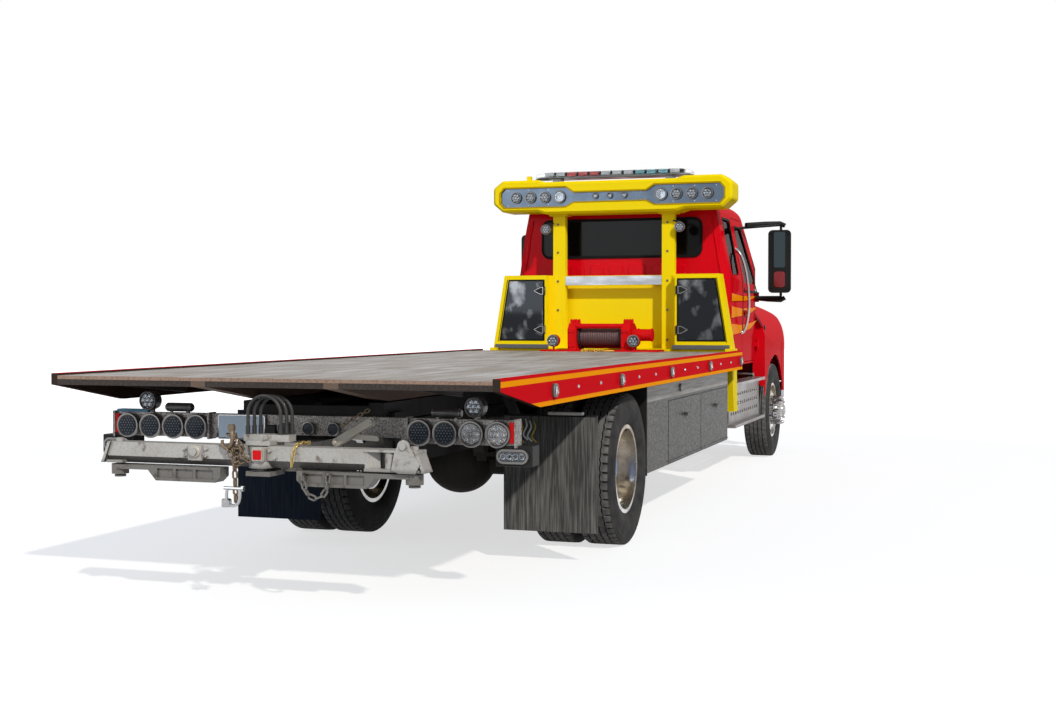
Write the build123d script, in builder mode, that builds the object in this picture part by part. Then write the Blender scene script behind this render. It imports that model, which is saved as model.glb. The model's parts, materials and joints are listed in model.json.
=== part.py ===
from build123d import *
import os
from math import atan2, cos, degrees, hypot, radians, sin

# Tow truck with a sliding, tilting flatbed and a folding wheel lift, on a conventional chassis with
# an extended cab. Millimetres, +X forward, +Y to the left, +Z up. The origin is on the ground, in the
# middle of the vehicle's length and width.

os.makedirs("parts", exist_ok=True)

# ---- driving dimensions -------------------------------------------------------------------------
REAR_AXLE_X = -2400
WHEELBASE = 6600
FRONT_AXLE_X = REAR_AXLE_X + WHEELBASE
BUMPER_X = 5300                 # front face of the bumper

TYRE_R = 510
TYRE_W = 276                    # across the sidewalls
BEAD_R = 286                    # 22.5 inch bead seat
FLANGE_R = 298
FRONT_TYRE_Y = 1028
REAR_TYRE_OUT_Y = 1083
REAR_TYRE_IN_Y = 773
KINGPIN_Y = 820
AXLE_Z = TYRE_R

FRAME_Y = 430                   # outer face of the frame rails
FRAME_TOP = 955
FRAME_H = 250
FRAME_FLANGE = 80
FRAME_T = 10
FRAME_REAR_X = REAR_AXLE_X - 2100
FRAME_FRONT_X = FRONT_AXLE_X + 800

DECK_TAIL_X = REAR_AXLE_X - 2800
DECK_FRONT_X = REAR_AXLE_X + 3820
DECK_HALF = 1295
DECK_TOP = 1215
DECK_PLATE = 6
RAIL_W = 40
RAIL_BOTTOM = 1055
RAIL_TOP = 1227
BEVEL_X = REAR_AXLE_X - 2175    # where the deck's underside starts to rise to the tail
TAIL_Z = 1165                   # underside of the thin tail edge
SILL_Y = (345, 425)             # the deck's two long beams
SILL_Z = 1072

TILT_X = REAR_AXLE_X - 2130     # pin that the tilting frame turns on
TILT_Z = 900
TILT_FRAME_Z = (965, 1065)
TILT_FRAME_Y = (340, 430)
TILT_FRAME_FRONT_X = REAR_AXLE_X + 3740
TILT_FRAME_REAR_X = REAR_AXLE_X - 2250

HEAD_X = REAR_AXLE_X + 3920     # rear face of the headboard's side cabinets
POST_X = REAR_AXLE_X + 4040     # rear face of its two posts
HEAD_BACK_X = REAR_AXLE_X + 4180
HEAD_BOTTOM = 1235
HEAD_TOP = 1942
POST_Y = (482, 605)
PYLON_X = (REAR_AXLE_X + 3905, REAR_AXLE_X + 4250)

CAB_REAR_X = REAR_AXLE_X + 4330
CAB_FRONT_X = REAR_AXLE_X + 6140
CAB_FLOOR = 1060
CAB_WALL = 55
DOOR_X = (REAR_AXLE_X + 5030, REAR_AXLE_X + 5930)
DOOR_Z = (1085, 2530)
DOOR_GAP = 6
BELT_Z = 1880
DOOR_HINGE_Y = 1085
DOOR_HINGE_Z = (1250, 1750)
SILL_EDGE_Y = 1014              # edge of the cab floor inside the doors

TOOLBOX_X = (REAR_AXLE_X + 550, REAR_AXLE_X + 3600)
TOOLBOX_Y = (640, 1200)
TOOLBOX_Z = (420, 925)
TOOLBOX_WALL = 22
TOOLBOX_SEAMS = (REAR_AXLE_X + 1190, REAR_AXLE_X + 2385)

LIGHT_BAR_X = REAR_AXLE_X - 2330
LIFT_PIVOT_X = REAR_AXLE_X - 1300
LIFT_Z = 790
CROSSBAR_X = REAR_AXLE_X - 2815
CROSSBAR_Z = (762, 872)
CROSSBAR_HALF = 895
ARM_PIN_Y = 850
HOSE_FOOT_Z = 925               # top of the valve block


# ---- helpers --------------------------------------------------------------------------------------
def keep(piece, name):
    """Label a finished piece and write its file."""
    piece.part.label = name
    export_step(piece.part, f"parts/{name}.step")


def keep_pair(piece, name):
    """Write a left piece and its mirror image on the right."""
    with BuildPart() as twin:
        mirror(piece.part, about=Plane.XZ)
    keep(piece, f"{name}_left")
    keep(twin, f"{name}_right")


def side_plane(y):
    """Plane across the vehicle's side at y: local x is forward, local y is up, normal is -Y."""
    return Plane(origin=(0, y, 0), x_dir=(1, 0, 0), z_dir=(0, -1, 0))


def cross_plane(x):
    """Plane across the vehicle at x: local x is left, local y is up, normal is +X."""
    return Plane(origin=(x, 0, 0), x_dir=(0, 1, 0), z_dir=(1, 0, 0))


def wheel_plane(x):
    """Plane through a wheel's axis: local x is left, local y is the radius."""
    return Plane(origin=(x, 0, AXLE_Z), x_dir=(0, 1, 0), z_dir=(1, 0, 0))


def block(x, y, z, mode=Mode.ADD):
    """A box given by its low and high limits along each axis."""
    with Locations(((x[0] + x[1]) / 2, (y[0] + y[1]) / 2, (z[0] + z[1]) / 2)):
        Box(x[1] - x[0], y[1] - y[0], z[1] - z[0], mode=mode)


def rod(start, end, radius, mode=Mode.ADD):
    """A round bar between two points."""
    way = Vector(*end) - Vector(*start)
    with BuildSketch(Plane(origin=start, z_dir=way)) as disc:
        Circle(radius)
    extrude(disc.sketch, amount=way.length, mode=mode)


def side_shape(points, y, width, mode=Mode.ADD):
    """A closed outline of (x, z) points, width thick from y towards +Y."""
    with BuildSketch(side_plane(y + width)) as outline:
        with BuildLine():
            Polyline(*points, close=True)
        make_face()
    extrude(outline.sketch, amount=width, mode=mode)


def cross_shape(points, x, length, mode=Mode.ADD):
    """A closed outline of (y, z) points, length long from x towards +X."""
    with BuildSketch(cross_plane(x)) as outline:
        with BuildLine():
            Polyline(*points, close=True)
        make_face()
    extrude(outline.sketch, amount=length, mode=mode)


# ---- chassis frame ---------------------------------------------------------------------------------
# Cross members: middle x, low z, high z
CROSS_MEMBERS = (
    (FRAME_REAR_X + 30, 888, 950),
    (REAR_AXLE_X - 900, 740, 930),
    (REAR_AXLE_X + 760, 740, 930),
    (REAR_AXLE_X + 2100, 740, 930),
    (REAR_AXLE_X + 3500, 790, 930),
    (REAR_AXLE_X + 4800, 865, 950),
    (FRONT_AXLE_X + 760, 730, 800),
)
# Spring hangers: x of the hanger, low z
HANGERS = (
    (REAR_AXLE_X - 660, 656),
    (REAR_AXLE_X + 660, 656),
    (FRONT_AXLE_X - 620, 626),
    (FRONT_AXLE_X + 620, 626),
)

with BuildPart() as frame_rails:
    rail_length = FRAME_FRONT_X - FRAME_REAR_X
    for side in (1, -1):
        outer = side * FRAME_Y
        flange = side * (FRAME_Y - FRAME_FLANGE)
        web = side * (FRAME_Y - FRAME_T)
        low, high = FRAME_TOP - FRAME_H, FRAME_TOP
        cross_shape(
            [(outer, low), (flange, low), (flange, low + FRAME_T), (web, low + FRAME_T),
             (web, high - FRAME_T), (flange, high - FRAME_T), (flange, high), (outer, high)],
            FRAME_REAR_X, rail_length)
        for x, z in HANGERS:
            edge = sorted((side * (FRAME_Y - 75), side * FRAME_Y))
            side_shape([(x - 60, low + 5), (x + 60, low + 5), (x + 30, z), (x - 30, z)],
                       edge[0], edge[1] - edge[0])
        # lug behind the rail's end that carries the tilt pin
        lug = sorted((side * (FRAME_Y - 40), side * (FRAME_Y - 12)))
        side_shape([(FRAME_REAR_X + 90, 940), (FRAME_REAR_X + 90, 740), (FRAME_REAR_X, 740),
                    (TILT_X - 45, 865), (TILT_X - 45, 935)], lug[0], lug[1] - lug[0])
        rod((TILT_X, side * (FRAME_Y - 30), TILT_Z), (TILT_X, side * (FRAME_Y + 42), TILT_Z), 25)
        # pin of the tilt cylinder's foot
        rod((REAR_AXLE_X - 250, side * (FRAME_Y - 5), 790),
            (REAR_AXLE_X - 250, side * (FRAME_Y + 95), 790), 24)
    for x, low, high in CROSS_MEMBERS:
        block((x - 32, x + 32), (-FRAME_Y + FRAME_T, FRAME_Y - FRAME_T), (low, high))
keep(frame_rails, "frame_rails")


# ---- axles ------------------------------------------------------------------------------------------
SPRING_Y = 392
SPRING_W = 76


def leaf_spring(axle_x, reach, seat_z, eye_z):
    """A bowed pack of leaves on each side, with its clamp plates."""
    for side in (1, -1):
        with BuildSketch(side_plane(side * SPRING_Y + SPRING_W / 2)) as pack:
            with BuildLine():
                ThreePointArc((axle_x - reach, eye_z), (axle_x, seat_z), (axle_x + reach, eye_z))
                Line((axle_x + reach, eye_z), (axle_x + reach, eye_z - 22))
                Line((axle_x + reach, eye_z - 22), (axle_x + 200, seat_z - 52))
                Line((axle_x + 200, seat_z - 52), (axle_x - 200, seat_z - 52))
                Line((axle_x - 200, seat_z - 52), (axle_x - reach, eye_z - 22))
                Line((axle_x - reach, eye_z - 22), (axle_x - reach, eye_z))
            make_face()
        extrude(pack.sketch, amount=SPRING_W)
        block((axle_x - 80, axle_x + 80), (side * SPRING_Y - 55, side * SPRING_Y + 55),
              (seat_z - 75, seat_z + 14))


with BuildPart() as rear_axle:
    rod((REAR_AXLE_X, -640, AXLE_Z), (REAR_AXLE_X, 640, AXLE_Z), 68)
    rod((REAR_AXLE_X, -1010, AXLE_Z), (REAR_AXLE_X, 1010, AXLE_Z), 46)
    with BuildSketch(wheel_plane(REAR_AXLE_X)):
        with BuildLine():
            Line((-230, 0), (230, 0))
            Line((230, 0), (230, 70))
            ThreePointArc((230, 70), (0, 205), (-230, 70))
            Line((-230, 70), (-230, 0))
        make_face()
    revolve(axis=Axis((REAR_AXLE_X, 0, AXLE_Z), (0, 1, 0)))
    rod((REAR_AXLE_X, 0, AXLE_Z), (REAR_AXLE_X + 330, 0, AXLE_Z + 30), 95)
    leaf_spring(REAR_AXLE_X, 690, 640, 655)
    for side in (1, -1):
        block((REAR_AXLE_X - 70, REAR_AXLE_X + 70), (side * SPRING_Y - 50, side * SPRING_Y + 50),
              (AXLE_Z, 580))
        rod((REAR_AXLE_X - 640, side * SPRING_Y, 640), (REAR_AXLE_X - 640, side * SPRING_Y, 600), 30)
keep(rear_axle, "rear_axle")

BEAM_Z = 385                    # middle of the dropped front beam
with BuildPart() as front_axle:
    with BuildSketch(cross_plane(FRONT_AXLE_X - 45)):
        with BuildLine():
            Polyline((-790, AXLE_Z - 48), (-762, AXLE_Z - 48), (-640, BEAM_Z - 45), (640, BEAM_Z - 45),
                     (762, AXLE_Z - 48), (790, AXLE_Z - 48),
                     (790, AXLE_Z + 48), (720, AXLE_Z + 48), (600, BEAM_Z + 45), (-600, BEAM_Z + 45),
                     (-720, AXLE_Z + 48), (-790, AXLE_Z + 48), close=True)
        make_face()
    extrude(amount=90)
    # the beam is an I section: a long hollow on the front and the back
    for x in (FRONT_AXLE_X - 45, FRONT_AXLE_X + 20):
        block((x, x + 25), (-600, 600), (BEAM_Z - 27, BEAM_Z + 27), mode=Mode.SUBTRACT)
    for side in (1, -1):
        rod((FRONT_AXLE_X, side * KINGPIN_Y, AXLE_Z - 48), (FRONT_AXLE_X, side * KINGPIN_Y, AXLE_Z + 48), 46)
        rod((FRONT_AXLE_X, side * KINGPIN_Y, AXLE_Z - 100), (FRONT_AXLE_X, side * KINGPIN_Y, AXLE_Z + 100), 22)
        block((FRONT_AXLE_X - 70, FRONT_AXLE_X + 70), (side * SPRING_Y - 50, side * SPRING_Y + 50),
              (BEAM_Z, 560))
    leaf_spring(FRONT_AXLE_X, 650, 610, 625)
keep(front_axle, "front_axle")

with BuildPart() as knuckle:
    y = KINGPIN_Y
    # fork above and below the beam's end, its back wall, and the spindle
    for low in (AXLE_Z - 88, AXLE_Z + 56):
        rod((FRONT_AXLE_X, y, low), (FRONT_AXLE_X, y, low + 32), 48)
        block((FRONT_AXLE_X - 40, FRONT_AXLE_X + 40), (y, y + 75), (low, low + 32))
    block((FRONT_AXLE_X - 45, FRONT_AXLE_X + 45), (y + 53, y + 78), (AXLE_Z - 88, AXLE_Z + 88))
    rod((FRONT_AXLE_X, y + 70, AXLE_Z), (FRONT_AXLE_X, y + 195, AXLE_Z), 38)
    rod((FRONT_AXLE_X, y, AXLE_Z - 105), (FRONT_AXLE_X, y, AXLE_Z + 105), 23.5, mode=Mode.SUBTRACT)
    side_shape([(FRONT_AXLE_X - 40, AXLE_Z - 88), (FRONT_AXLE_X - 210, AXLE_Z - 88),
                (FRONT_AXLE_X - 210, AXLE_Z - 60), (FRONT_AXLE_X - 40, AXLE_Z - 60)], y + 18, 40)
keep_pair(knuckle, "knuckle")


# ---- wheels ----------------------------------------------------------------------------------------
def tyre_ring(axle_x, middle_y):
    """One tyre: bead, bowed sidewalls and a flat tread."""
    bead, wide, shoulder, tread = 91, TYRE_W / 2, 122, 106
    with BuildSketch(wheel_plane(axle_x)) as section:
        with BuildLine():
            Line((middle_y - bead, BEAD_R + 0.5), (middle_y + bead, BEAD_R + 0.5))
            ThreePointArc((middle_y + bead, BEAD_R + 0.5), (middle_y + wide, 395),
                          (middle_y + shoulder, TYRE_R - 16))
            Line((middle_y + shoulder, TYRE_R - 16), (middle_y + tread, TYRE_R))
            Line((middle_y + tread, TYRE_R), (middle_y - tread, TYRE_R))
            Line((middle_y - tread, TYRE_R), (middle_y - shoulder, TYRE_R - 16))
            ThreePointArc((middle_y - shoulder, TYRE_R - 16), (middle_y - wide, 395),
                          (middle_y - bead, BEAD_R + 0.5))
        make_face()
    revolve(section.sketch, axis=Axis((axle_x, 0, AXLE_Z), (0, 1, 0)))


def turned(axle_x, points, mode=Mode.ADD):
    """A closed outline of (y, radius) points turned about a wheel's axis."""
    with BuildSketch(wheel_plane(axle_x)) as section:
        with BuildLine():
            Polyline(*points, close=True)
        make_face()
    revolve(section.sketch, axis=Axis((axle_x, 0, AXLE_Z), (0, 1, 0)), mode=mode)


def rim_outline(middle_y, disc_y, hub_r, disc_t, turn):
    """Rim well, both flanges and the dished disc; turn is 1 for a disc that bulges outwards."""
    m = middle_y
    return [
        (m - 110, FLANGE_R), (m - 102, FLANGE_R), (m - 102, BEAD_R), (m + 102, BEAD_R),
        (m + 102, FLANGE_R), (m + 110, FLANGE_R), (m + 110, BEAD_R - 14),
        (m + turn * 60 + 12, BEAD_R - 16), (disc_y + disc_t, 190), (disc_y + disc_t, hub_r),
        (disc_y, hub_r), (disc_y, 185), (m + turn * 60 - 12, BEAD_R - 16), (m - 110, BEAD_R - 14),
    ]


LUG_CIRCLE_R = 143
HAND_HOLE_R = 232

with BuildPart() as tyre_front:
    tyre_ring(FRONT_AXLE_X, FRONT_TYRE_Y)
keep_pair(tyre_front, "tyre_front")

with BuildPart() as rim_front:
    disc_y = FRONT_TYRE_Y + 82
    turned(FRONT_AXLE_X, rim_outline(FRONT_TYRE_Y, disc_y, 40, 22, 1))
    # brake drum, hub barrel and the chrome hub cap
    turned(FRONT_AXLE_X, [(disc_y, 100), (disc_y - 14, 205), (FRONT_TYRE_Y - 118, 205),
                          (FRONT_TYRE_Y - 118, 192), (disc_y - 30, 192), (disc_y - 30, 70),
                          (FRONT_TYRE_Y - 60, 70), (FRONT_TYRE_Y - 60, 39.5), (disc_y, 39.5)])
    turned(FRONT_AXLE_X, [(disc_y + 20, 0), (disc_y + 20, 112), (disc_y + 60, 108), (disc_y + 70, 90),
                          (disc_y + 120, 84), (disc_y + 142, 60), (disc_y + 148, 0)])
    with BuildSketch(side_plane(disc_y + 62)):
        with Locations((FRONT_AXLE_X, AXLE_Z)):
            with PolarLocations(LUG_CIRCLE_R, 10):
                Circle(19)
    extrude(amount=45)
    with BuildSketch(side_plane(disc_y + 60)):
        with Locations((FRONT_AXLE_X, AXLE_Z)):
            with PolarLocations(HAND_HOLE_R, 10, start_angle=18):
                Circle(17)
    extrude(amount=100, mode=Mode.SUBTRACT)
keep_pair(rim_front, "rim_front")

with BuildPart() as tyres_rear:
    tyre_ring(REAR_AXLE_X, REAR_TYRE_OUT_Y)
    tyre_ring(REAR_AXLE_X, REAR_TYRE_IN_Y)
keep_pair(tyres_rear, "tyres_rear")

with BuildPart() as rims_rear:
    mid_y = (REAR_TYRE_OUT_Y + REAR_TYRE_IN_Y) / 2
    turned(REAR_AXLE_X, rim_outline(REAR_TYRE_OUT_Y, mid_y, 48, 22, -1))
    turned(REAR_AXLE_X, [(2 * mid_y - y, r) for y, r in
                         rim_outline(REAR_TYRE_OUT_Y, mid_y, 48, 22, -1)])
    # hub with its axle flange, and the brake drum behind
    turned(REAR_AXLE_X, [(mid_y - 60, 48), (mid_y - 60, 110), (mid_y + 30, 110), (mid_y + 140, 102),
                         (mid_y + 140, 84), (mid_y + 172, 78), (mid_y + 172, 0), (mid_y + 92, 0),
                         (mid_y + 92, 48)])
    turned(REAR_AXLE_X, [(mid_y - 20, 100), (mid_y - 20, 205), (mid_y - 245, 205), (mid_y - 245, 190),
                         (mid_y - 40, 190), (mid_y - 40, 100)])
    with BuildSketch(side_plane(mid_y + 52)):
        with Locations((REAR_AXLE_X, AXLE_Z)):
            with PolarLocations(LUG_CIRCLE_R, 10):
                Circle(17)
    extrude(amount=40)
    with BuildSketch(side_plane(mid_y + 130)):
        with Locations((REAR_AXLE_X, AXLE_Z)):
            with PolarLocations(HAND_HOLE_R, 10, start_angle=18):
                Circle(20)
    extrude(amount=260, mode=Mode.SUBTRACT)
keep_pair(rims_rear, "rims_rear")


# ---- engine, driveline, tank, exhaust ----------------------------------------------------------------
SHAFT_Z = 610
with BuildPart() as powertrain:
    # the engine is a plain block on its sump
    block((FRONT_AXLE_X - 430, FRONT_AXLE_X + 520), (-320, 320), (830, 1430))
    block((FRONT_AXLE_X - 380, FRONT_AXLE_X + 460), (-200, 200), (640, 835))
    # gearbox, then the two shafts and their middle bearing
    rod((FRONT_AXLE_X - 1300, 0, 800), (FRONT_AXLE_X - 425, 0, 830), 200)
    rod((FRONT_AXLE_X - 1420, 0, 770), (FRONT_AXLE_X - 1290, 0, 800), 90)
    rod((REAR_AXLE_X + 1900, 0, SHAFT_Z), (FRONT_AXLE_X - 1400, 0, 770), 48)
    rod((REAR_AXLE_X + 340, 0, AXLE_Z + 33), (REAR_AXLE_X + 1960, 0, SHAFT_Z), 48)
    rod((REAR_AXLE_X + 1840, 0, SHAFT_Z), (REAR_AXLE_X + 1980, 0, SHAFT_Z), 75)
keep(powertrain, "powertrain")

TANK_X = (REAR_AXLE_X + 4420, REAR_AXLE_X + 5760)
TANK_Y, TANK_Z, TANK_R = 745, 640, 285
with BuildPart() as fuel_tank:
    rod((TANK_X[0], TANK_Y, TANK_Z), (TANK_X[1], TANK_Y, TANK_Z), TANK_R)
    fillet(fuel_tank.edges().filter_by(GeomType.CIRCLE), 35)
    for x in (TANK_X[0] + 260, TANK_X[1] - 300):
        rod((x, TANK_Y, TANK_Z), (x + 50, TANK_Y, TANK_Z), TANK_R + 6)
        block((x, x + 50), (FRAME_Y + 1, TANK_Y - 180), (TANK_Z - 120, TANK_Z + 260))

MUFFLER_Y, MUFFLER_Z = -640, 640
with BuildPart() as exhaust:
    muffler_x = (REAR_AXLE_X + 4460, REAR_AXLE_X + 5560)
    rod((muffler_x[0], MUFFLER_Y, MUFFLER_Z), (muffler_x[1], MUFFLER_Y, MUFFLER_Z), 150)
    fillet(exhaust.edges().filter_by(GeomType.CIRCLE), 25)
    rod((muffler_x[1] - 5, MUFFLER_Y, MUFFLER_Z), (muffler_x[1] + 260, -500, 700), 50)
    rod((muffler_x[0] + 5, MUFFLER_Y, MUFFLER_Z), (muffler_x[0] - 160, MUFFLER_Y, MUFFLER_Z), 50)
    rod((muffler_x[0] - 150, MUFFLER_Y + 10, MUFFLER_Z), (muffler_x[0] - 250, MUFFLER_Y - 330, 560), 50)
    for x in (muffler_x[0] + 200, muffler_x[1] - 220):
        block((x, x + 40), (MUFFLER_Y + 100, -FRAME_Y - 1), (MUFFLER_Z - 20, MUFFLER_Z + 120))
with BuildPart() as tank_and_exhaust:
    add([fuel_tank.part, exhaust.part])
keep(tank_and_exhaust, "tank_and_exhaust")


# ---- cab ---------------------------------------------------------------------------------------------
def cab_form(inset):
    """The cab's outer form, drawn in by inset: side, end and plan outlines crossed."""
    x0, x1 = CAB_REAR_X, CAB_FRONT_X
    with BuildPart() as form:
        with BuildSketch(Plane.XZ):
            with BuildLine():
                Polyline((x0, CAB_FLOOR), (x0, 2560))
                ThreePointArc((x0, 2560), (x0 + 40, 2632), (x0 + 130, 2668))
                Polyline((x0 + 130, 2668), (x0 + 1120, 2700), (x0 + 1290, 2610), (x1 - 60, 1840),
                         (x1, 1800), (x1, CAB_FLOOR), (x0, CAB_FLOOR))
            make_face()
            if inset:
                offset(amount=-inset)
        extrude(amount=1200, both=True)
        with BuildSketch(Plane.YZ):
            with BuildLine():
                Polyline((-1075, CAB_FLOOR - 1), (-1085, BELT_Z), (-950, 2560))
                ThreePointArc((-950, 2560), (-895, 2640), (-790, 2676))
                ThreePointArc((-790, 2676), (0, 2712), (790, 2676))
                ThreePointArc((790, 2676), (895, 2640), (950, 2560))
                Polyline((950, 2560), (1085, BELT_Z), (1075, CAB_FLOOR - 1), (-1075, CAB_FLOOR - 1))
            make_face()
            if inset:
                offset(amount=-inset)
        extrude(amount=6000, both=True, mode=Mode.INTERSECT)
        with BuildSketch(Plane.XY):
            with BuildLine():
                Polyline((x0, -990), (x0 + 70, -1076), (x0 + 1300, -1086), (x1 - 180, -1050),
                         (x1 - 160, -1005), (x1, -985), (x1, 985), (x1 - 160, 1005),
                         (x1 - 180, 1050), (x0 + 1300, 1086), (x0 + 70, 1076), (x0, 990), close=True)
            make_face()
            if inset:
                offset(amount=-inset)
        extrude(amount=3000, mode=Mode.INTERSECT)
    return form.part


def door_outline(gap):
    """Door opening in side view, grown by gap, and by more at the rear edge, which swings past it."""
    x0, x1 = DOOR_X[0] - 2.5 * gap, DOOR_X[1] + gap
    z0, z1 = DOOR_Z[0] - gap, DOOR_Z[1] + gap
    return [(x0, z0), (x1, z0), (x1, 1900), (x1 - 425, z1), (x0, z1)]


# Side windows in side view: the door's, then the quarter window behind it
DOOR_WINDOW = [(DOOR_X[0] + 90, BELT_Z), (DOOR_X[1] - 75, BELT_Z), (DOOR_X[1] - 445, 2450),
               (DOOR_X[0] + 90, 2450)]
QUARTER_WINDOW = [(CAB_REAR_X + 170, 1950), (CAB_REAR_X + 590, 1950), (CAB_REAR_X + 590, 2500),
                  (CAB_REAR_X + 205, 2500)]
REAR_WINDOW_Y, REAR_WINDOW_Z = 800, (2130, 2490)

cab_outer = cab_form(0)
cab_inner = cab_form(CAB_WALL)
glass_outer = cab_form(14)
glass_inner = cab_form(20)


def windscreen_bar(grow):
    """The windscreen's outline as a bar square to the raked glass."""
    foot = Vector(CAB_FRONT_X - 60, 0, 1840)
    head = Vector(CAB_REAR_X + 1290, 0, 2610)
    way = (head - foot).normalized()
    face = Plane(origin=(foot + head) / 2, x_dir=(0, 1, 0), z_dir=Vector(0, 1, 0).cross(way))
    half_up = (head - foot).length / 2 - 45 + grow
    with BuildPart() as bar:
        with BuildSketch(face):
            with BuildLine():
                Polyline((-905 - grow, -half_up), (905 + grow, -half_up), (815 + grow, half_up),
                         (-815 - grow, half_up), close=True)
            make_face()
            fillet(vertices(), 70)
        extrude(amount=130, both=True)
    return bar.part


with BuildPart() as side_cuts:
    with BuildSketch(side_plane(1300)):
        with BuildLine():
            Polyline(*QUARTER_WINDOW, close=True)
        make_face()
        fillet(vertices(), 50)
    extrude(amount=2600)
    with BuildSketch(cross_plane(CAB_REAR_X - 100)):
        with Locations((0, sum(REAR_WINDOW_Z) / 2)):
            RectangleRounded(2 * REAR_WINDOW_Y, REAR_WINDOW_Z[1] - REAR_WINDOW_Z[0], 70)
    extrude(amount=300)
windscreen_cut = windscreen_bar(0)

with BuildPart() as cab_shell:
    add(cab_outer)
    add(cab_inner, mode=Mode.SUBTRACT)
    add(side_cuts.part, mode=Mode.SUBTRACT)
    add(windscreen_cut, mode=Mode.SUBTRACT)
    with BuildSketch(side_plane(1300)):
        with BuildLine():
            Polyline(*door_outline(DOOR_GAP), close=True)
        make_face()
    extrude(amount=2600, mode=Mode.SUBTRACT)
    # the floor runs on between the doors
    block((DOOR_X[0] - 40, DOOR_X[1] + 20), (-SILL_EDGE_Y, SILL_EDGE_Y), (CAB_FLOOR, CAB_FLOOR + CAB_WALL))
    # fixed half of each door hinge: leaf, two knuckles and the pin
    for z in DOOR_HINGE_Z:
        for side in (1, -1):
            axis_y, leaf = side * DOOR_HINGE_Y, sorted((side * 1035, side * 1078))
            block((DOOR_X[1] + 17, DOOR_X[1] + 55), leaf, (z - 52, z + 52))
            for low in (z - 52, z + 32):
                rod((DOOR_X[1], axis_y, low), (DOOR_X[1], axis_y, low + 20), 12)
                block((DOOR_X[1], DOOR_X[1] + 30), sorted((side * 1062, side * 1080)), (low, low + 20))
            rod((DOOR_X[1], axis_y, z - 50), (DOOR_X[1], axis_y, z + 50), 6.5)
    # mounts that carry the cab on the frame
    for x in (CAB_REAR_X + 200, CAB_FRONT_X - 330):
        for side in (1, -1):
            block((x, x + 120), (side * 390 - 38, side * 390 + 38), (FRAME_TOP, CAB_FLOOR + 10))
keep(cab_shell, "cab_shell")

with BuildPart() as cab_glass:
    add(glass_outer)
    add(glass_inner, mode=Mode.SUBTRACT)
    add([side_cuts.part, windscreen_cut], mode=Mode.INTERSECT)
keep(cab_glass, "cab_glass")

with BuildPart() as door:
    add(cab_outer)
    add(cab_inner, mode=Mode.SUBTRACT)
    with BuildSketch(side_plane(1300)):
        with BuildLine():
            Polyline(*door_outline(0), close=True)
        make_face()
    extrude(amount=700, mode=Mode.INTERSECT)
    with BuildSketch(side_plane(1300)):
        with BuildLine():
            Polyline(*DOOR_WINDOW, close=True)
        make_face()
        fillet(vertices(), 45)
    extrude(amount=700, mode=Mode.SUBTRACT)
    # the door's skin alone goes down past the floor
    block((DOOR_X[0] - 1, DOOR_X[1] + 1), (590, SILL_EDGE_Y + DOOR_GAP),
          (DOOR_Z[0] - 1, CAB_FLOOR + CAB_WALL + DOOR_GAP), mode=Mode.SUBTRACT)
    # pull handle
    block((DOOR_X[0] + 60, DOOR_X[0] + 240), (1075, 1105), (1560, 1600))
    # its half of each hinge
    for z in DOOR_HINGE_Z:
        block((DOOR_X[1] - 60, DOOR_X[1]), (1040, 1080), (z - 28, z + 28))
        rod((DOOR_X[1], DOOR_HINGE_Y, z - 30), (DOOR_X[1], DOOR_HINGE_Y, z + 30), 12)
        rod((DOOR_X[1], DOOR_HINGE_Y, z - 31), (DOOR_X[1], DOOR_HINGE_Y, z + 31), 7, mode=Mode.SUBTRACT)
keep_pair(door, "door")

with BuildPart() as door_glass:
    add(glass_outer)
    add(glass_inner, mode=Mode.SUBTRACT)
    with BuildSketch(side_plane(1300)):
        with BuildLine():
            Polyline(*DOOR_WINDOW, close=True)
        make_face()
        fillet(vertices(), 45)
    extrude(amount=700, mode=Mode.INTERSECT)
keep_pair(door_glass, "door_glass")

MIRROR_X, MIRROR_Y, MIRROR_Z = DOOR_X[1] - 250, 1358, (1800, 2430)
MIRROR_BAR_X, MIRROR_BAR_Z = MIRROR_X + 45, (1745, 2500)
with BuildPart() as mirror_arm:
    # head, the upright behind it, and the two arms that reach it from the door
    with BuildSketch(Plane.XY.offset(MIRROR_Z[0])):
        with Locations((MIRROR_X, MIRROR_Y)):
            RectangleRounded(110, 218, 40)
    extrude(amount=MIRROR_Z[1] - MIRROR_Z[0])
    fillet(mirror_arm.edges().group_by(Axis.Z)[-1] + mirror_arm.edges().group_by(Axis.Z)[0], 30)
    for foot, z in (((MIRROR_BAR_X, 1060, MIRROR_BAR_Z[0]), MIRROR_BAR_Z[0]),
                    ((DOOR_X[1] - 440, 955, 2460), MIRROR_BAR_Z[1])):
        rod(foot, (MIRROR_BAR_X, MIRROR_Y, z), 14)
        with Locations((MIRROR_BAR_X, MIRROR_Y, z)):
            Sphere(14)
    rod((MIRROR_BAR_X, MIRROR_Y, MIRROR_BAR_Z[0]), (MIRROR_BAR_X, MIRROR_Y, MIRROR_BAR_Z[1]), 14)
    # the arms' feet seat on the door's skin
    add(cab_outer, mode=Mode.SUBTRACT)
keep_pair(mirror_arm, "mirror")

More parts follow.
